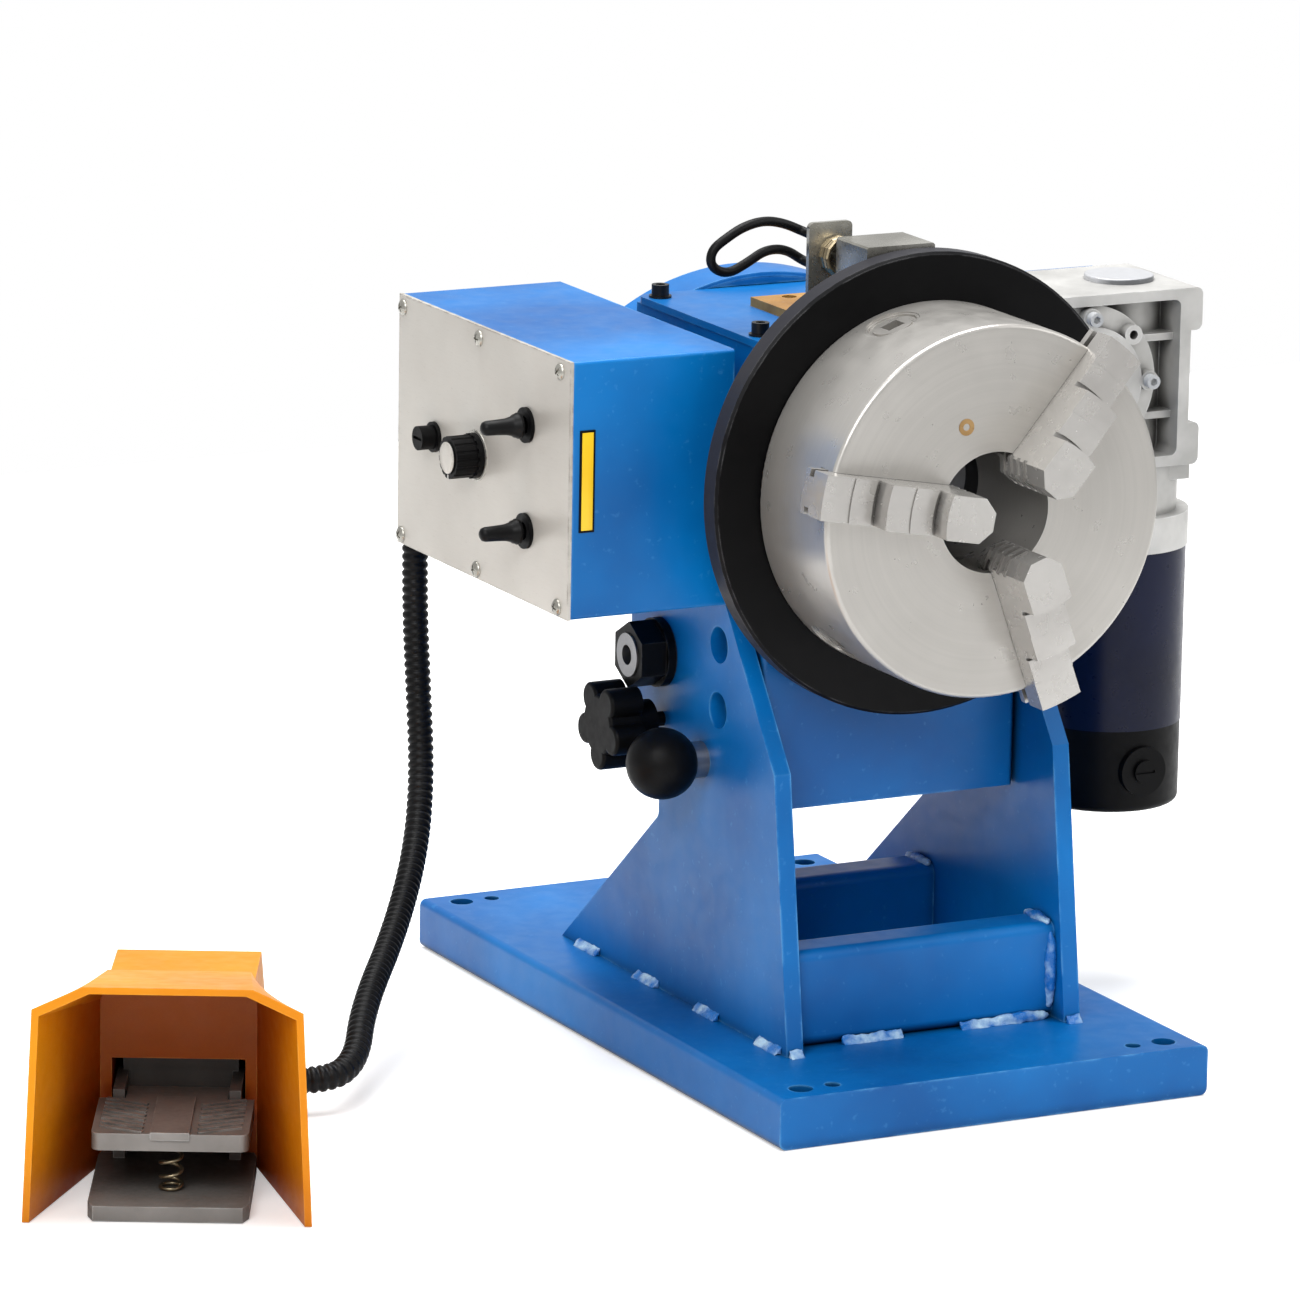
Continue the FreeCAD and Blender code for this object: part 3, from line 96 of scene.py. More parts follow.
def addStudio(values):
    world = bpy.data.worlds.new("studio")
    scene.world = world
    world.use_nodes = True
    nodes, links = world.node_tree.nodes, world.node_tree.links
    nodes.clear()
    out = nodes.new("ShaderNodeOutputWorld")
    mix = nodes.new("ShaderNodeMixShader")
    room = nodes.new("ShaderNodeBackground")
    room.inputs["Strength"].default_value = values["world"]
    white = nodes.new("ShaderNodeBackground")
    white.inputs["Color"].default_value = (1, 1, 1, 1)
    path = nodes.new("ShaderNodeLightPath")
    room.inputs["Color"].default_value = (1, 1, 1, 1)
    seen = nodes.new("ShaderNodeMath")
    seen.operation = "MAXIMUM"
    sheen = nodes.new("ShaderNodeMath")
    sheen.operation = "MULTIPLY"
    sheen.inputs[1].default_value = values["sheen"]
    links.new(path.outputs["Is Glossy Ray"], sheen.inputs[0])
    links.new(path.outputs["Is Camera Ray"], seen.inputs[0])
    links.new(sheen.outputs[0], seen.inputs[1])
    links.new(seen.outputs[0], mix.inputs[0])
    links.new(room.outputs[0], mix.inputs[1])
    links.new(white.outputs[0], mix.inputs[2])
    links.new(mix.outputs[0], out.inputs[0])
    for place, size, power in values["lamps"]:
        bpy.ops.object.light_add(type="AREA", location=place)
        lamp = bpy.context.object
        lamp.data.size = size
        lamp.data.energy = power
        lamp.rotation_euler = (Vector(values["aim"]) - Vector(place)).to_track_quat("-Z", "Y").to_euler()
    bpy.ops.mesh.primitive_plane_add(size=values["size"], location=(0, 0, -values["drop"]))
    floor = bpy.context.object
    floor.name = "floor"
    paint = bpy.data.materials.new("floorPaint")
    paint.use_nodes = True
    shader = paint.node_tree.nodes["Principled BSDF"]
    shader.inputs["Base Color"].default_value = values["floor"]
    shader.inputs["Roughness"].default_value = values["floorRough"]
    shader.inputs["Specular IOR Level"].default_value = values["floorSpecular"]
    light = paint.node_tree.nodes.new("ShaderNodeLightPath")
    glow = paint.node_tree.nodes.new("ShaderNodeMath")
    glow.operation = "MULTIPLY"
    glow.inputs[1].default_value = values["glow"]
    paint.node_tree.links.new(light.outputs["Is Camera Ray"], glow.inputs[0])
    shader.inputs["Emission Color"].default_value = (1, 1, 1, 1)
    paint.node_tree.links.new(glow.outputs[0], shader.inputs["Emission Strength"])
    floor.data.materials.append(paint)


addCamera(camera)
addStudio(studio)
print("camera and light made")


# cords
def nurbsRoute(name, points):
    data = bpy.data.curves.new(name, "CURVE")
    data.dimensions = "3D"
    line = data.splines.new("NURBS")
    line.points.add(len(points) - 1)
    for point, place in zip(line.points, points):
        point.co = (*place, 1)
    line.order_u = 3
    line.use_endpoint_u = True
    line.resolution_u = 16
    route = bpy.data.objects.new(name, data)
    scene.collection.objects.link(route)
    return route


def evenPoints(route, step):
    mesh = bpy.data.meshes.new_from_object(route)
    raw = [v.co.copy() for v in mesh.vertices]
    bpy.data.meshes.remove(mesh)
    marks = [0.0]
    for a, b in zip(raw, raw[1:]):
        marks.append(marks[-1] + (b - a).length)
    count = round(marks[-1] / step)
    points, at = [], 0
    for i in range(count + 1):
        want = marks[-1] * i / count
        while at < len(raw) - 2 and marks[at + 1] < want:
            at += 1
        span = marks[at + 1] - marks[at]
        points.append(raw[at].lerp(raw[at + 1], (want - marks[at]) / span))
    return points, marks[-1]


pedal = {"turn": math.radians(-27), "x": -0.474, "y": -0.207}


def pedalPoint(across, back, up):
    c, s = math.cos(pedal["turn"]), math.sin(pedal["turn"])
    return (pedal["x"] + c * across - s * back, pedal["y"] + s * across + c * back, up)


hoseValues = {"loose": 7, "radius": 0.0073, "groove": 0.0012, "pitch": 0.0047, "samples": 6, "sides": 24,
              "route": [(-0.172, 0.143, 0.262), (-0.172, 0.143, 0.221), (-0.170, 0.141, 0.172),
                        (-0.174, 0.127, 0.127), (-0.191, 0.098, 0.092), (-0.225, 0.052, 0.062),
                        (-0.275, -0.014, 0.041), (-0.296, -0.051, 0.023),
                        pedalPoint(0.072, 0.200, 0.0176), pedalPoint(0.046, 0.200, 0.0176)]}


def makeTube(name, points, radii, sides):
    verts, faces = [], []
    normal = Vector((1, 0, 0))
    for i, (point, radius) in enumerate(zip(points, radii)):
        along = (points[min(i + 1, len(points) - 1)] - points[max(i - 1, 0)]).normalized()
        normal = (normal - along * normal.dot(along)).normalized()
        other = along.cross(normal)
        for k in range(sides):
            turn = 2 * math.pi * k / sides
            verts.append(point + radius * (math.cos(turn) * normal + math.sin(turn) * other))
    for i in range(len(points) - 1):
        for k in range(sides):
            a, b = i * sides + k, i * sides + (k + 1) % sides
            faces.append((a, b, b + sides, a + sides))
    faces.append(tuple(range(sides))[::-1])
    faces.append(tuple(range((len(points) - 1) * sides, len(points) * sides)))
    mesh = bpy.data.meshes.new(name)
    mesh.from_pydata(verts, [], faces)
    mesh.shade_smooth()
    tube = bpy.data.objects.new(name, mesh)
    scene.collection.objects.link(tube)
    return tube


def makeHose(values):
    route = nurbsRoute("hoseRoute", values["route"])
    points, length = evenPoints(route, values["pitch"] / values["samples"])
    bpy.data.objects.remove(route)
    radii = []
    for i in range(len(points)):
        wave = 0.5 - 0.5 * math.cos(2 * math.pi * i / values["samples"])
        radii.append(values["radius"] - values["groove"] * wave ** 2)
    hose = makeTube("corrugatedHose", points, radii, values["sides"])
    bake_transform(hose)
    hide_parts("hose")
    return hose


leadBack = -0.061
leadValues = {"radius": 0.0026, "step": 0.0015, "sides": 20,
              "route": [(-0.034, leadBack, 0.453), (-0.034, -0.049, 0.453), (-0.047, -0.049, 0.459),
                        (-0.061, -0.052, 0.462), (-0.075, -0.055, 0.460), (-0.086, -0.057, 0.455),
                        (-0.095, -0.057, 0.449), (-0.095, -0.056, 0.440), (-0.085, -0.056, 0.435),
                        (-0.072, -0.054, 0.440), (-0.060, -0.052, 0.446), (-0.046, -0.049, 0.445),
                        (-0.034, -0.048, 0.437), (-0.034, leadBack, 0.437)]}


def makeLead(values):
    route = nurbsRoute("leadRoute", values["route"])
    points, length = evenPoints(route, values["step"])
    bpy.data.objects.remove(route)
    lead = makeTube("earthLead", points, [values["radius"]] * len(points), values["sides"])
    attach(lead, "head")
    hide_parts("brush_lead")
    return lead


hose = makeHose(hoseValues)
lead = makeLead(leadValues)
print("cords made")


# shared effects; the edge mask serves both edge wear and painted edge highlights, the occlusion range sets
# painted shade in recesses, and the rim range sets a painted sheen on side faces
effects = {"edge": (0.995, 0.80), "edgeBreakup": (0.42, 0.62), "edgeBreakupDetail": 4, "bevelSamples": 4,
           "layers": (("Broad", 1, 4), ("Fine", 14, 6), ("Specks", 34, 2)), "specks": (0.66, 0.74),
           "spindleHeight": 0.3276, "ringDetail": 5, "rings": (0.35, 0.65),
           "occlusionShade": (0.75, 0.15), "occlusionShadeSamples": 8, "rim": (0.75, 0.35), "farSpan": 0.002,
           "patches": (0.35, 0.68), "fine": (0.3, 0.7)}


def newGroup(name, inputs, outputs):
    group = bpy.data.node_groups.new(name, "ShaderNodeTree")
    for label, kind, value in inputs:
        socket = group.interface.new_socket(name=label, in_out="INPUT", socket_type=kind)
        socket.default_value = value
    for label, kind in outputs:
        group.interface.new_socket(name=label, in_out="OUTPUT", socket_type=kind)
    start = group.nodes.new("NodeGroupInput")
    end = group.nodes.new("NodeGroupOutput")
    return group, start, end


def mathNode(tree, kind, a, b=None):
    node = tree.nodes.new("ShaderNodeMath")
    node.operation = kind
    for socket, value in zip(node.inputs, (a, b)):
        if isinstance(value, (int, float)):
            socket.default_value = value
        elif value is not None:
            tree.links.new(value, socket)
    return node.outputs[0]


def mapRange(tree, value, limits, outLow=0.0, outHigh=1.0):
    node = tree.nodes.new("ShaderNodeMapRange")
    tree.links.new(value, node.inputs["Value"])
    low, high = limits
    for label, limit in (("From Min", low), ("From Max", high), ("To Min", outLow), ("To Max", outHigh)):
        node.inputs[label].default_value = limit
    return node.outputs["Result"]


# edge mask from the bevel normal, broken up by noise; it lays real edge wear on some finishes and a painted
# highlight along edges on others
def edgeWearAndHighlightGroup():
    group, start, end = newGroup("edgeWearAndHighlight", (("Width", "NodeSocketFloat", 0.001),
                                              ("Breakup", "NodeSocketFloat", 120.0)),
                                 (("Mask", "NodeSocketFloat"),))
    bevel = group.nodes.new("ShaderNodeBevel")
    bevel.samples = effects["bevelSamples"]
    group.links.new(start.outputs["Width"], bevel.inputs["Radius"])
    geometry = group.nodes.new("ShaderNodeNewGeometry")
    dot = group.nodes.new("ShaderNodeVectorMath")
    dot.operation = "DOT_PRODUCT"
    group.links.new(bevel.outputs["Normal"], dot.inputs[0])
    group.links.new(geometry.outputs["True Normal"], dot.inputs[1])
    edge = mapRange(group, dot.outputs["Value"], effects["edge"])
    place = group.nodes.new("ShaderNodeTexCoord")
    noise = group.nodes.new("ShaderNodeTexNoise")
    noise.inputs["Detail"].default_value = effects["edgeBreakupDetail"]
    group.links.new(place.outputs["Object"], noise.inputs["Vector"])
    group.links.new(start.outputs["Breakup"], noise.inputs["Scale"])
    edgeBreakup = mapRange(group, noise.outputs["Fac"], effects["edgeBreakup"])
    group.links.new(mathNode(group, "MULTIPLY", edge, edgeBreakup), end.inputs["Mask"])
    return group


def mottleGroup():
    group, start, end = newGroup("mottle", (("Scale", "NodeSocketFloat", 20.0),
                                            ("Stretch", "NodeSocketVector", (1, 1, 1))),
                                 (("Broad", "NodeSocketFloat"), ("Fine", "NodeSocketFloat"),
                                  ("Specks", "NodeSocketFloat")))
    place = group.nodes.new("ShaderNodeTexCoord")
    stretch = group.nodes.new("ShaderNodeVectorMath")
    stretch.operation = "MULTIPLY"
    group.links.new(place.outputs["Object"], stretch.inputs[0])
    group.links.new(start.outputs["Stretch"], stretch.inputs[1])
    for label, times, detail in effects["layers"]:
        noise = group.nodes.new("ShaderNodeTexNoise")
        noise.inputs["Detail"].default_value = detail
        source = place.outputs["Object"] if label == "Broad" else stretch.outputs[0]
        group.links.new(source, noise.inputs["Vector"])
        group.links.new(mathNode(group, "MULTIPLY", start.outputs["Scale"], times), noise.inputs["Scale"])
        value = noise.outputs["Fac"]
        if label == "Specks":
            value = mapRange(group, value, effects["specks"])
        group.links.new(value, end.inputs[label])
    return group


def turnedGroup():
    group, start, end = newGroup("turnedRings", (("Height", "NodeSocketFloat", effects["spindleHeight"]),
                                                 ("Scale", "NodeSocketFloat", 900.0)),
                                 (("Rings", "NodeSocketFloat"),))
    place = group.nodes.new("ShaderNodeTexCoord")
    parts = group.nodes.new("ShaderNodeSeparateXYZ")
    group.links.new(place.outputs["Object"], parts.inputs[0])
    up = mathNode(group, "SUBTRACT", parts.outputs["Z"], start.outputs["Height"])
    square = mathNode(group, "ADD", mathNode(group, "POWER", parts.outputs["X"], 2.0),
                      mathNode(group, "POWER", up, 2.0))
    radius = mathNode(group, "SQRT", square)
    flat = group.nodes.new("ShaderNodeCombineXYZ")
    group.links.new(radius, flat.inputs["X"])
    group.links.new(parts.outputs["Y"], flat.inputs["Y"])
    noise = group.nodes.new("ShaderNodeTexNoise")
    noise.inputs["Detail"].default_value = effects["ringDetail"]
    group.links.new(flat.outputs[0], noise.inputs["Vector"])
    group.links.new(start.outputs["Scale"], noise.inputs["Scale"])
    group.links.new(noise.outputs["Fac"], end.inputs["Rings"])
    return group


# painted shade: an ambient occlusion mask that is high in recesses, holes and between parts, where shade
# falls
def cavityGroup():
    group, start, end = newGroup("cavity", (("Distance", "NodeSocketFloat", 0.02),),
                                 (("Mask", "NodeSocketFloat"),))
    occlusionShade = group.nodes.new("ShaderNodeAmbientOcclusion")
    occlusionShade.samples = effects["occlusionShadeSamples"]
    group.links.new(start.outputs["Distance"], occlusionShade.inputs["Distance"])
    group.links.new(mapRange(group, occlusionShade.outputs["AO"], effects["occlusionShade"]), end.inputs["Mask"])
    return group


groups = {"cavity": cavityGroup(), "wearAndHighlight": edgeWearAndHighlightGroup(), "mottle": mottleGroup(), "rings": turnedGroup()}


def groupNode(tree, group, **values):
    node = tree.nodes.new("ShaderNodeGroup")
    node.node_tree = group
    for label, value in values.items():
        node.inputs[label].default_value = value
    return node


def mixColor(tree, factor, first, second):
    node = tree.nodes.new("ShaderNodeMix")
    node.data_type = "RGBA"
    tree.links.new(factor, node.inputs["Factor"])
    for socket, value in ((node.inputs["A"], first), (node.inputs["B"], second)):
        if isinstance(value, tuple):
            socket.default_value = value
        else:
            tree.links.new(value, socket)
    return node.outputs["Result"]


def makeFinish(name, values):
    finish = bpy.data.materials.new(name)
    finish.use_nodes = True
    tree = finish.node_tree
    shader = tree.nodes["Principled BSDF"]
    mottle = groupNode(tree, groups["mottle"], Scale=values["scale"],
                       Stretch=values.get("stretch", (1, 1, 1)))
    patches = mapRange(tree, mottle.outputs["Broad"], values.get("spread", effects["patches"]))
    color = mixColor(tree, patches, values["dark"], values["light"])
    height = mottle.outputs["Fine"]
    if values.get("rings"):
        rings = groupNode(tree, groups["rings"], Scale=values["rings"])
        shade = mapRange(tree, rings.outputs["Rings"], effects["rings"], 0.0, values["ringDepth"])
        color = mixColor(tree, shade, color, values["ringColor"])
        height = rings.outputs["Rings"]
    # painted sheen: faces that do not face along the Y axis, such as a disc's rim, get a lighter colour
    if values.get("rimColor"):
        facing = tree.nodes.new("ShaderNodeSeparateXYZ")
        tree.links.new(tree.nodes.new("ShaderNodeNewGeometry").outputs["Normal"], facing.inputs[0])
        side = mapRange(tree, mathNode(tree, "ABSOLUTE", facing.outputs["Y"]), effects["rim"])
        color = mixColor(tree, side, color, values["rimColor"])
    if values.get("farColor"):
        parts = tree.nodes.new("ShaderNodeSeparateXYZ")
        tree.links.new(tree.nodes.new("ShaderNodeTexCoord").outputs["Object"], parts.inputs[0])
        far = mapRange(tree, parts.outputs["X"], (values["farX"], values["farX"] + effects["farSpan"]))
        color = mixColor(tree, far, color, values["farColor"])
    if values.get("specks"):
        amount = mathNode(tree, "MULTIPLY", mottle.outputs["Specks"], values["specks"])
        color = mixColor(tree, amount, color, values["speckColor"])
    # painted shade: mixes a dark colour into recesses
    if values.get("cavity"):
        occlusionShade = groupNode(tree, groups["cavity"], Distance=values["cavityDistance"])
        amount = mathNode(tree, "MULTIPLY", occlusionShade.outputs["Mask"], values["cavity"])
        color = mixColor(tree, amount, color, values["cavityColor"])
    # edge colour: real wear on some finishes, a painted highlight along edges on the blue paint
    if values.get("wearAndHighlight"):
        wearAndHighlight = groupNode(tree, groups["wearAndHighlight"], Width=values.get("wearAndHighlightWidth", 0.0012),
                         Breakup=values.get("breakup", 90.0))
        amount = mathNode(tree, "MULTIPLY", wearAndHighlight.outputs["Mask"], values["wearAndHighlight"])
        color = mixColor(tree, amount, color, values["wearAndHighlightColor"])
    tree.links.new(color, shader.inputs["Base Color"])
    smooth, rough = values["rough"]
    tree.links.new(mapRange(tree, mottle.outputs["Fine"], effects["fine"], smooth, rough),
                   shader.inputs["Roughness"])
    shader.inputs["Metallic"].default_value = values.get("metallic", 0.0)
    shader.inputs["Specular IOR Level"].default_value = values.get("specular", 0.5)
    bump = tree.nodes.new("ShaderNodeBump")
    bump.inputs["Strength"].default_value = values["bump"]
    bump.inputs["Distance"].default_value = values.get("depth", 0.0002)
    tree.links.new(height, bump.inputs["Height"])
    tree.links.new(bump.outputs["Normal"], shader.inputs["Normal"])
    return finish


finishes = {
    # bluePaint: the light blue edge colour is a painted highlight along edges, and the dark colour in holes
    # and recesses is painted shade
    "bluePaint": dict(dark=srgb(0, 84, 152), light=srgb(0, 116, 192), scale=7.0, rough=(0.30, 0.42),
                      bump=0.05, specular=0.28, wearAndHighlight=0.6, wearAndHighlightWidth=0.0022, breakup=60.0,
                      wearAndHighlightColor=srgb(108, 182, 232), specks=0.15, speckColor=srgb(90, 164, 220),
                      cavity=0.85, cavityDistance=0.014, cavityColor=srgb(4, 26, 52)),
    # lidPaint: the light blue edge colour is a painted highlight along edges
    "lidPaint": dict(dark=srgb(0, 80, 146), light=srgb(6, 112, 184), scale=9.0, rough=(0.30, 0.42),
                     bump=0.05, specular=0.28, wearAndHighlight=0.5, wearAndHighlightColor=srgb(96, 156, 206)),
    "navyPaint": dict(dark=srgb(6, 11, 34), light=srgb(12, 20, 50), scale=12.0, rough=(0.26, 0.36),
                      bump=0.03, specular=0.2),
    # weld beads: the pale patches are painted highlights mixed into the blue
    "weldPaintWithHighlights": dict(dark=srgb(28, 112, 190), light=srgb(178, 210, 232), scale=70.0, spread=(0.44, 0.62),
                      rough=(0.22, 0.40), bump=0.5, depth=0.0006),
    "blackPlastic": dict(dark=srgb(5, 5, 6), light=srgb(13, 13, 14), scale=14.0, rough=(0.36, 0.50),
                         bump=0.04, specular=0.1),
    "blackOxide": dict(dark=srgb(6, 6, 7), light=srgb(14, 14, 15), scale=10.0, rough=(0.34, 0.46),
                       bump=0.04, wearAndHighlight=0.4, wearAndHighlightColor=srgb(110, 110, 110), specular=0.12),
    # faceplateBlack: the lighter grey on the rim is a painted sheen
    "faceplateBlack": dict(dark=srgb(5, 5, 6), light=srgb(12, 12, 13), scale=9.0, rough=(0.34, 0.48),
                           bump=0.04, rimColor=srgb(44, 44, 49), wearAndHighlight=0.5, wearAndHighlightColor=srgb(136, 136, 138),
                           specular=0.09),
    "screwSteel": dict(dark=srgb(7, 7, 8), light=srgb(16, 16, 17), scale=40.0, rough=(0.28, 0.40),
                       bump=0.04, farX=0.1, farColor=srgb(176, 178, 180), specular=0.25),
    "chuckSteel": dict(dark=srgb(173, 170, 165), light=srgb(192, 189, 184), scale=5.0, metallic=0.65,
                       rough=(0.26, 0.36), rings=620.0, ringDepth=0.14, ringColor=srgb(152, 149, 145),
                       bump=0.02, wearAndHighlight=0.5, wearAndHighlightColor=srgb(222, 222, 220)),
    # jawSteel: the dark brown colour in the steps and recesses is painted shade
    "jawSteel": dict(dark=srgb(176, 173, 169), light=srgb(198, 196, 192), scale=9.0, metallic=0.65,
                     rough=(0.20, 0.30), bump=0.006, wearAndHighlight=0.25, wearAndHighlightWidth=0.0008, breakup=60.0,
                     wearAndHighlightColor=srgb(232, 232, 230), cavity=0.8, cavityDistance=0.008,
                     cavityColor=srgb(58, 54, 50)),
    "innerSteel": dict(dark=srgb(130, 130, 132), light=srgb(168, 168, 170), scale=20.0, metallic=0.9,
                       rough=(0.28, 0.40), bump=0.03),
    # castAluminium: the dark colour in recesses is painted shade
    "castAluminium": dict(dark=srgb(170, 169, 166), light=srgb(206, 205, 202), scale=22.0, metallic=0.4,
                          rough=(0.36, 0.50), bump=0.12, wearAndHighlight=0.6, wearAndHighlightColor=srgb(232, 232, 232),
                          cavity=0.85, cavityDistance=0.012, cavityColor=srgb(50, 48, 46)),
    # capGrey: the lighter grey on the rim is a painted sheen
    "capGrey": dict(dark=srgb(96, 98, 101), light=srgb(124, 126, 129), scale=24.0, metallic=0.4,
                    rough=(0.34, 0.46), bump=0.05, rimColor=srgb(190, 191, 194)),
    "panelAluminium": dict(dark=srgb(184, 180, 173), light=srgb(211, 208, 201), scale=6.0, metallic=0.35,
                           rough=(0.34, 0.46), stretch=(1, 1, 12), bump=0.02, specks=0.22,
                           speckColor=srgb(134, 124, 108), wearAndHighlight=0.7, wearAndHighlightWidth=0.0022, breakup=140.0,
                           wearAndHighlightColor=srgb(104, 92, 76)),
    "zincSteel": dict(dark=srgb(140, 138, 130), light=srgb(186, 184, 176), scale=30.0, metallic=0.85,
                      rough=(0.24, 0.36), bump=0.05),
    "springWire": dict(dark=srgb(120, 108, 86), light=srgb(172, 158, 130), scale=40.0, metallic=0.9,
                       rough=(0.26, 0.38), bump=0.04),
    "agedCopper": dict(dark=srgb(160, 112, 46), light=srgb(212, 162, 84), scale=34.0, metallic=0.7,
                       rough=(0.32, 0.48), bump=0.06, wearAndHighlight=0.5, wearAndHighlightColor=srgb(228, 182, 126)),
    "blackRubber": dict(dark=srgb(7, 7, 8), light=srgb(17, 17, 18), scale=18.0, rough=(0.34, 0.48),
                        bump=0.05, specular=0.14),
    # orangePlastic: the brown inside the pedal hood is painted shade
    "orangePlastic": dict(dark=srgb(214, 128, 6), light=srgb(230, 148, 16), scale=8.0, rough=(0.36, 0.48),
                          bump=0.12, wearAndHighlight=0.35, wearAndHighlightColor=srgb(252, 196, 100), specular=0.2, cavity=1.0,
                          cavityDistance=0.11, cavityColor=srgb(150, 58, 0)),
    # treadGrey: the dark colour in recesses and under the hood is painted shade
    "treadGrey": dict(dark=srgb(118, 114, 110), light=srgb(146, 142, 138), scale=22.0, metallic=0.2,
                      rough=(0.38, 0.52), bump=0.14, wearAndHighlight=0.5, wearAndHighlightColor=srgb(196, 196, 193), cavity=0.7,
                      cavityDistance=0.05, cavityColor=srgb(30, 27, 25)),
    "boardGreen": dict(dark=srgb(20, 84, 44), light=srgb(36, 112, 62), scale=30.0, rough=(0.35, 0.5),
                       bump=0.1),
    "yellowFilm": dict(dark=srgb(240, 190, 10), light=srgb(250, 208, 30), scale=16.0, rough=(0.35, 0.48),
                       bump=0.03),
    "brassPlug": dict(dark=srgb(150, 116, 72), light=srgb(186, 152, 104), scale=60.0, metallic=0.8,
                      rough=(0.26, 0.40), bump=0.05),
    "whiteMark": dict(dark=srgb(214, 214, 210), light=srgb(236, 236, 232), scale=40.0, rough=(0.4, 0.5),
                      bump=0.02),
}
made = {name: makeFinish(name, values) for name, values in finishes.items()}
slotFinish = {"blue_paint": "bluePaint", "dark_blue_paint": "lidPaint", "navy_paint": "navyPaint",
              "black_plastic": "blackPlastic", "black_oxide": "blackOxide", "ground_steel": "chuckSteel",
              "machined_steel": "innerSteel", "cast_aluminium": "castAluminium",
              "panel_aluminium": "panelAluminium", "zinc_plate": "zincSteel", "spring_steel": "springWire",
              "copper": "agedCopper", "rubber": "blackRubber", "orange_plastic": "orangePlastic",
              "board_green": "boardGreen", "grey_casting": "treadGrey"}
nodeFinish = {"weld_beads": "weldPaintWithHighlights", "treadle": "treadGrey", "pedal_base": "treadGrey",
              "faceplate": "faceplateBlack", "socket_screws": "screwSteel", "worm_cap": "capGrey",
              "jaw_1": "jawSteel", "jaw_2": "jawSteel", "jaw_3": "jawSteel"}


def dress(piece, finish):
    piece.data.materials.clear()
    piece.data.materials.append(made[finish])


slots = {part["node"]: part["material_slot"] for part in frame["record"]["subparts"]}
for name, piece in frame["nodes"].items():
    finish = made[nodeFinish.get(name, slotFinish[slots[name]])]
    if not piece.material_slots:
        piece.data.materials.append(finish)
    for holder in piece.material_slots:
        holder.material = finish
dress(hose, "blackRubber")
dress(lead, "blackRubber")
print("finishes made")


# small pieces of the looks
smoothAngle = math.radians(35)
latheAngle = math.radians(40)
seat = 0.0002
weldDistance = 0.00001


def deselectAll():
    bpy.ops.object.select_all(action="DESELECT")


def finishPiece(piece, name, body, finish):
    deselectAll()
    piece.select_set(True)
    bpy.context.view_layer.objects.active = piece
    bpy.ops.object.transform_apply(location=True, rotation=True, scale=True)
    piece.name = name
    dress(piece, finish)
    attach(piece, body)
    return piece


def bevelPiece(piece, width, segments=2):
    rounding = piece.modifiers.new("rounding", "BEVEL")
    rounding.width = width
    rounding.segments = segments
    deselectAll()
    piece.select_set(True)
    bpy.context.view_layer.objects.active = piece
    bpy.ops.object.modifier_apply(modifier=rounding.name)
    bpy.ops.object.shade_smooth_by_angle(angle=smoothAngle)


strip = {"x": (-0.184, -0.175), "z": (0.308, 0.363), "border": 0.0012, "backing": 0.0005, "film": 0.0008,
         "rounding": 0.0002}


def makeStrip(values):
    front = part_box("control_box")[0].y
    (x0, x1), (z0, z1) = values["x"], values["z"]
    layers = (("stripBacking", "blackPlastic", 0, values["backing"]),
              ("stripFilm", "yellowFilm", values["border"], values["film"]))
    for name, finish, inset, proud in layers:
        deselectAll()
        bpy.ops.mesh.primitive_cube_add(size=1, location=((x0 + x1) / 2, front - proud / 2, (z0 + z1) / 2))
        layer = bpy.context.object
        layer.scale = (x1 - x0 - 2 * inset, proud + seat, z1 - z0 - 2 * inset)
        bpy.ops.object.transform_apply(location=False, rotation=False, scale=True)
        bevelPiece(layer, values["rounding"])
        finishPiece(layer, name, "head", finish)


plug = {"place": (-0.018, 0.3746), "radius": 0.0045, "depth": 0.002, "proud": 0.0003, "land": 0.55,
        "groove": 0.0003, "sink": 0.0005}


def makePlug(values):
    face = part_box("chuck_body")[0].y
    deselectAll()
    x, z = values["place"]
    bpy.ops.mesh.primitive_cylinder_add(vertices=40, radius=values["radius"], depth=values["depth"],
                                        location=(x, face + values["depth"] / 2 - values["proud"], z),
                                        rotation=(math.radians(90), 0, 0))
    piece = bpy.context.object
    bpy.ops.object.mode_set(mode="EDIT")
    bpy.ops.mesh.select_all(action="DESELECT")
    mesh = bmesh.from_edit_mesh(piece.data)
    for side in mesh.faces:
        side.select_set(side.normal.z > 0.9)
    bmesh.update_edit_mesh(piece.data)
    bpy.ops.mesh.inset(thickness=values["radius"] * values["land"], depth=0)
    bpy.ops.mesh.inset(thickness=values["groove"], depth=-values["sink"])
    bpy.ops.object.mode_set(mode="OBJECT")
    finishPiece(piece, "facePlug", "spindle", "brassPlug")


def lathe(name, start, profile, sides=40):
    verts = [(start[0] - out, start[1], start[2] + radius) for out, radius in profile]
    mesh = bpy.data.meshes.new(name)
    mesh.from_pydata(verts, [(i, i + 1) for i in range(len(verts) - 1)], [])
    piece = bpy.data.objects.new(name, mesh)
    scene.collection.objects.link(piece)
    deselectAll()
    piece.select_set(True)
    bpy.context.view_layer.objects.active = piece
    bpy.ops.object.mode_set(mode="EDIT")
    bpy.ops.mesh.select_all(action="SELECT")
    bpy.ops.mesh.spin(steps=sides, angle=2 * math.pi, center=start, axis=(1, 0, 0))
    bpy.ops.mesh.select_all(action="SELECT")
    bpy.ops.mesh.remove_doubles(threshold=weldDistance)
    bpy.ops.mesh.normals_make_consistent(inside=False)
    bpy.ops.object.mode_set(mode="OBJECT")
    bpy.ops.object.shade_smooth_by_angle(angle=latheAngle)
    return piece


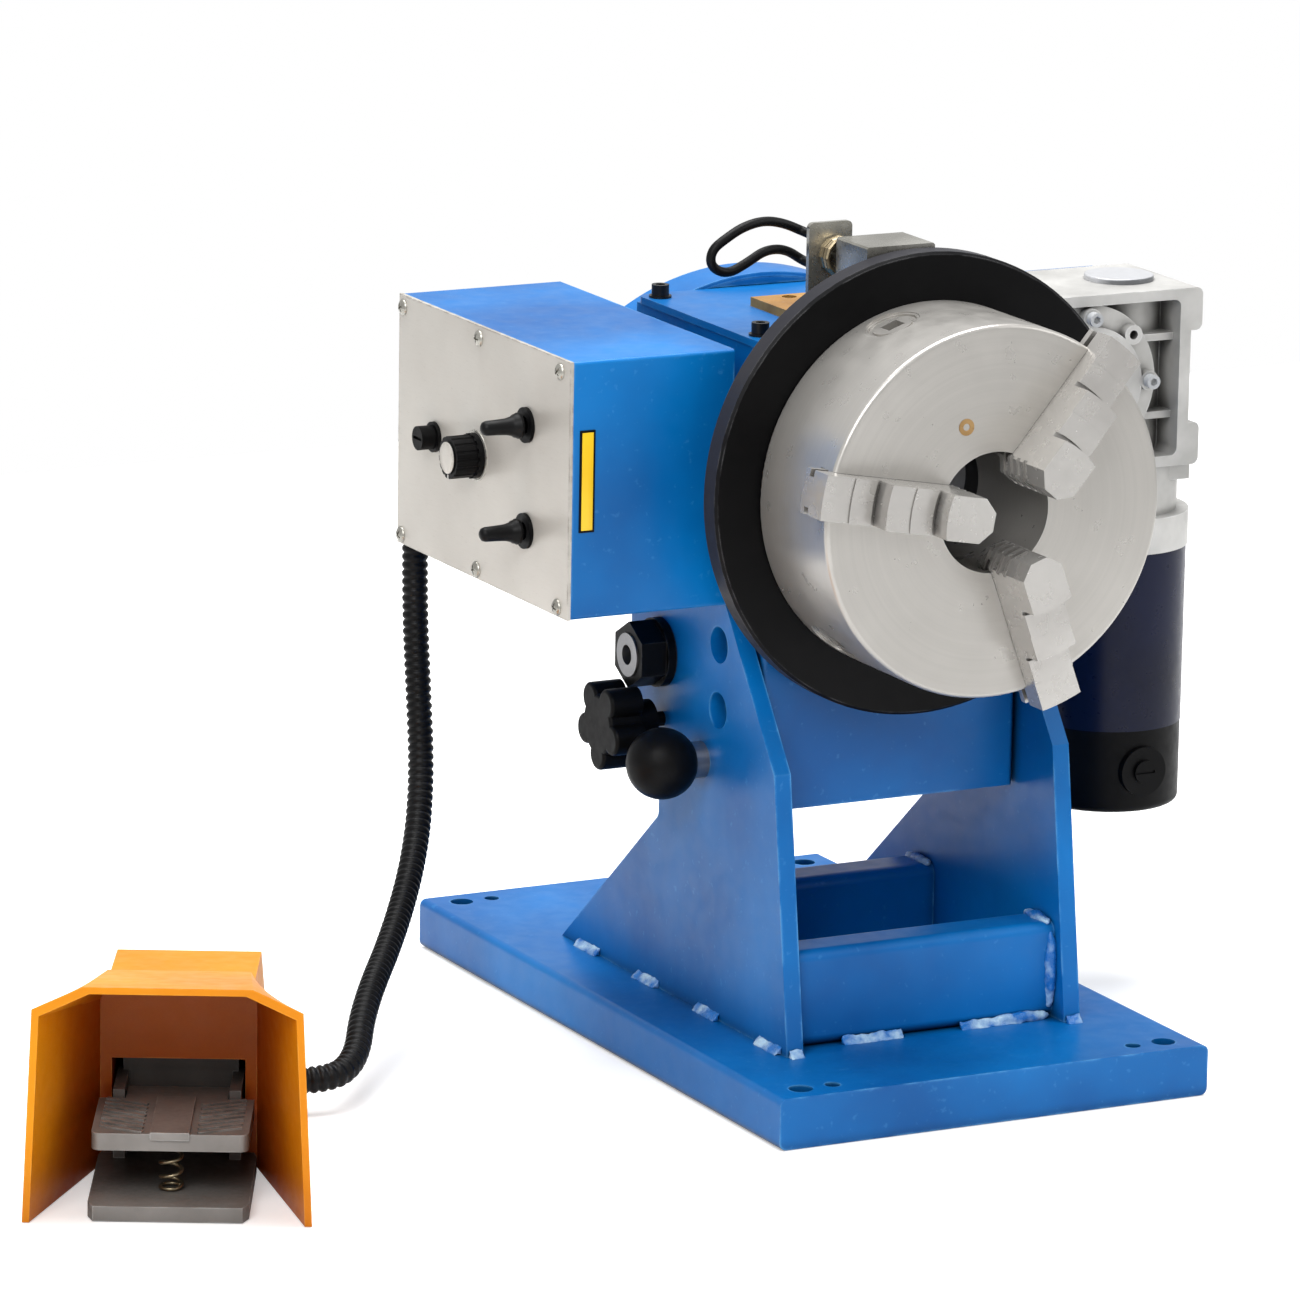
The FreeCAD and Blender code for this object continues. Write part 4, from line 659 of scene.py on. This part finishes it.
knobParts = {"disc": ((0.0, 0.0), (0.0, 0.0086), (0.0005, 0.0086), (0.0009, 0.0081), (0.0008, 0.0030),
                      (0.0006, 0.0)),
             "washer": ((0.0, 0.0128), (0.0, 0.0140), (0.0004, 0.0139), (0.0006, 0.0134), (0.0004, 0.0128),
                        (0.0, 0.0128)),
             "pointer": (0.0088, 0.0113, 0.0009), "pointerThick": 0.0012, "pointerSink": 0.0011,
              "pointerRound": 0.0002}


def makeKnobParts(values):
    low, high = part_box("speed_knob")
    middle = ((low.y + high.y) / 2, (low.z + high.z) / 2)
    disc = lathe("knobDisc", (low.x + seat, *middle), values["disc"])
    finishPiece(disc, "knobDisc", "speed_knob", "panelAluminium")
    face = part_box("control_panel")[0].x
    washer = lathe("knobWasher", (face + seat / 2, *middle), values["washer"])
    finishPiece(washer, "knobWasher", "head", "zincSteel")
    inner, outer, width = values["pointer"]
    deselectAll()
    place = (low.x + values["pointerSink"], middle[0], middle[1] - (inner + outer) / 2)
    bpy.ops.mesh.primitive_cube_add(size=1, location=place)
    pointer = bpy.context.object
    pointer.scale = (values["pointerThick"], width, outer - inner)
    bpy.ops.object.transform_apply(location=False, rotation=False, scale=True)
    bevelPiece(pointer, values["pointerRound"])
    finishPiece(pointer, "knobPointer", "speed_knob", "whiteMark")


boots = {"profile": ((0.0038, 0.0), (0.0038, 0.0056), (0.0044, 0.0068), (0.0058, 0.0070), (0.0066, 0.0064),
                     (0.0080, 0.0062), (0.0088, 0.0054), (0.0105, 0.0050), (0.0125, 0.0045), (0.0180, 0.0042),
                     (0.0240, 0.0040), (0.0258, 0.0034), (0.0268, 0.0020), (0.0270, 0.0)),
         "levers": (("pedal_switch_lever", "pedal_switch"), ("direction_lever", "direction_switch"))}


def makeBoots(values):
    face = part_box("control_panel")[0].x
    for node, body in values["levers"]:
        low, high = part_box(node)
        boot = lathe(body + "Boot", (face, (low.y + high.y) / 2, (low.z + high.z) / 2), values["profile"])
        finishPiece(boot, body + "Boot", body, "blackRubber")
        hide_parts(node)


screws = {"y": (-0.070, 0.028, 0.123), "z": (0.266, 0.393), "turns": (0.3, 0.9, 1.3, 0.1, 0.6, 1.1),
          "dome": ((-0.0001, 0.0), (-0.0001, 0.0046), (0.0004, 0.0046), (0.0012, 0.0040), (0.0019, 0.0029),
                   (0.0023, 0.0015), (0.0024, 0.0)),
          "slot": (0.0022, 0.0052, 0.0009), "slotOut": 0.0023, "sides": 28}


def makeScrews(values):
    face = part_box("control_panel")[0].x
    places = [(y, z) for y in values["y"] for z in values["z"]]
    heads = []
    for (y, z), turn in zip(places, values["turns"]):
        head = lathe("screwHead", (face, y, z), values["dome"], values["sides"])
        for quarter in (0, 1):
            deselectAll()
            bpy.ops.mesh.primitive_cube_add(size=1, location=(face - values["slotOut"], y, z))
            cutter = bpy.context.object
            cutter.scale = values["slot"]
            cutter.rotation_euler = (turn + quarter * math.pi / 2, 0, 0)
            cut = head.modifiers.new("recess", "BOOLEAN")
            cut.object = cutter
            cut.solver = "EXACT"
            bpy.context.view_layer.objects.active = head
            bpy.ops.object.modifier_apply(modifier=cut.name)
            bpy.data.objects.remove(cutter)
        heads.append(head)
    deselectAll()
    for head in heads:
        head.select_set(True)
    bpy.context.view_layer.objects.active = heads[0]
    bpy.ops.object.join()
    joined = bpy.context.object
    finishPiece(joined, "panelScrewHeads", "head", "zincSteel")
    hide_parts("panel_screws")


guardFront = {"middle": 0.273, "radius": 0.1344, "thick": 0.0025, "cut": 0.4033, "gap": 0.0003}


def makeGuardFront(values):
    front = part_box("gear_guard")[0].y
    deselectAll()
    middle = (0, front + values["thick"] / 2 + values["gap"], values["middle"])
    bpy.ops.mesh.primitive_cylinder_add(vertices=160, radius=values["radius"], depth=values["thick"],
                                        location=middle,
                                        rotation=(math.radians(90), 0, 0))
    piece = bpy.context.object
    bpy.ops.object.transform_apply(location=True, rotation=True, scale=True)
    bpy.ops.object.mode_set(mode="EDIT")
    bpy.ops.mesh.select_all(action="SELECT")
    bpy.ops.mesh.bisect(plane_co=(0, 0, values["cut"]), plane_no=(0, 0, 1), use_fill=True, clear_inner=True)
    bpy.ops.object.mode_set(mode="OBJECT")
    finishPiece(piece, "guardFront", "head", "bluePaint")


welds = {"grain": 0.0010, "lumps": 0.0045, "lift": 0.0022, "merge": 0.00002,
         "extra": (((0.078, -0.1385, 0.055), (0.0035, 0.0035, 0.022)),
                   ((0.077, -0.124, 0.081), (0.0040, 0.013, 0.0030)),
                   ((0.077, 0.010, 0.081), (0.0040, 0.013, 0.0030)),
                   ((0.060, -0.1395, 0.0300), (0.018, 0.0035, 0.0035)))}


def makeWelds(values):
    source = frame["nodes"]["weld_beads"]
    beads = bpy.data.objects.new("weldRuns", source.data.copy())
    scene.collection.objects.link(beads)
    parts = [beads]
    for place, size in values["extra"]:
        deselectAll()
        bpy.ops.mesh.primitive_uv_sphere_add(segments=20, ring_count=12, radius=1, location=place)
        blob = bpy.context.object
        blob.scale = size
        parts.append(blob)
    deselectAll()
    for part in parts:
        part.select_set(True)
    bpy.context.view_layer.objects.active = beads
    bpy.ops.object.join()
    bpy.ops.object.transform_apply(location=True, rotation=True, scale=True)
    bpy.ops.object.mode_set(mode="EDIT")
    bpy.ops.mesh.select_all(action="SELECT")
    bpy.ops.mesh.remove_doubles(threshold=values["merge"])
    bpy.ops.object.mode_set(mode="OBJECT")
    lumps = bpy.data.textures.new("weldLumps", "CLOUDS")
    lumps.noise_scale = values["lumps"]
    remesh = beads.modifiers.new("grain", "REMESH")
    remesh.mode = "VOXEL"
    remesh.voxel_size = values["grain"]
    rough = beads.modifiers.new("lumps", "DISPLACE")
    rough.texture = lumps
    rough.strength = values["lift"]
    rough.mid_level = 0.5
    for name in ("grain", "lumps"):
        bpy.ops.object.modifier_apply(modifier=name)
    bpy.ops.object.shade_smooth()
    finishPiece(beads, "weldRuns", "frame", "weldPaintWithHighlights")
    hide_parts("weld_beads")


returnSpring = {"wire": 0.0010, "turns": 5.0, "flat": 0.75, "steps": 28, "sides": 10, "keep": 0.6}


def makeReturnSpring(values):
    low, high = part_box("pedal_spring")
    radius = (high.x - low.x) / 2 - values["wire"]
    centre, height = (low + high) / 2, high.z - low.z - 2 * values["wire"]
    count = int(values["turns"] * values["steps"])
    share = values["flat"] / values["turns"]
    points = []
    for i in range(count + 1):
        turn = 2 * math.pi * i / values["steps"]
        rise = min(max((i / count - share) / (1 - 2 * share), 0), 1)
        z = low.z + values["wire"] + height * rise
        points.append(Vector((centre.x + radius * math.cos(turn), centre.y + radius * math.sin(turn), z)))
    spring = makeTube("returnSpring", points, [values["wire"]] * len(points), values["sides"])
    finishPiece(spring, "returnSpring", "frame", "springWire")
    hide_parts("pedal_spring")
    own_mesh(spring)


makeReturnSpring(returnSpring)
makeStrip(strip)
makePlug(plug)
makeKnobParts(knobParts)
makeBoots(boots)
makeScrews(screws)
makeGuardFront(guardFront)
makeWelds(welds)
print("small pieces made")

scene.view_settings.view_transform = "Standard"
bpy.context.view_layer.update()
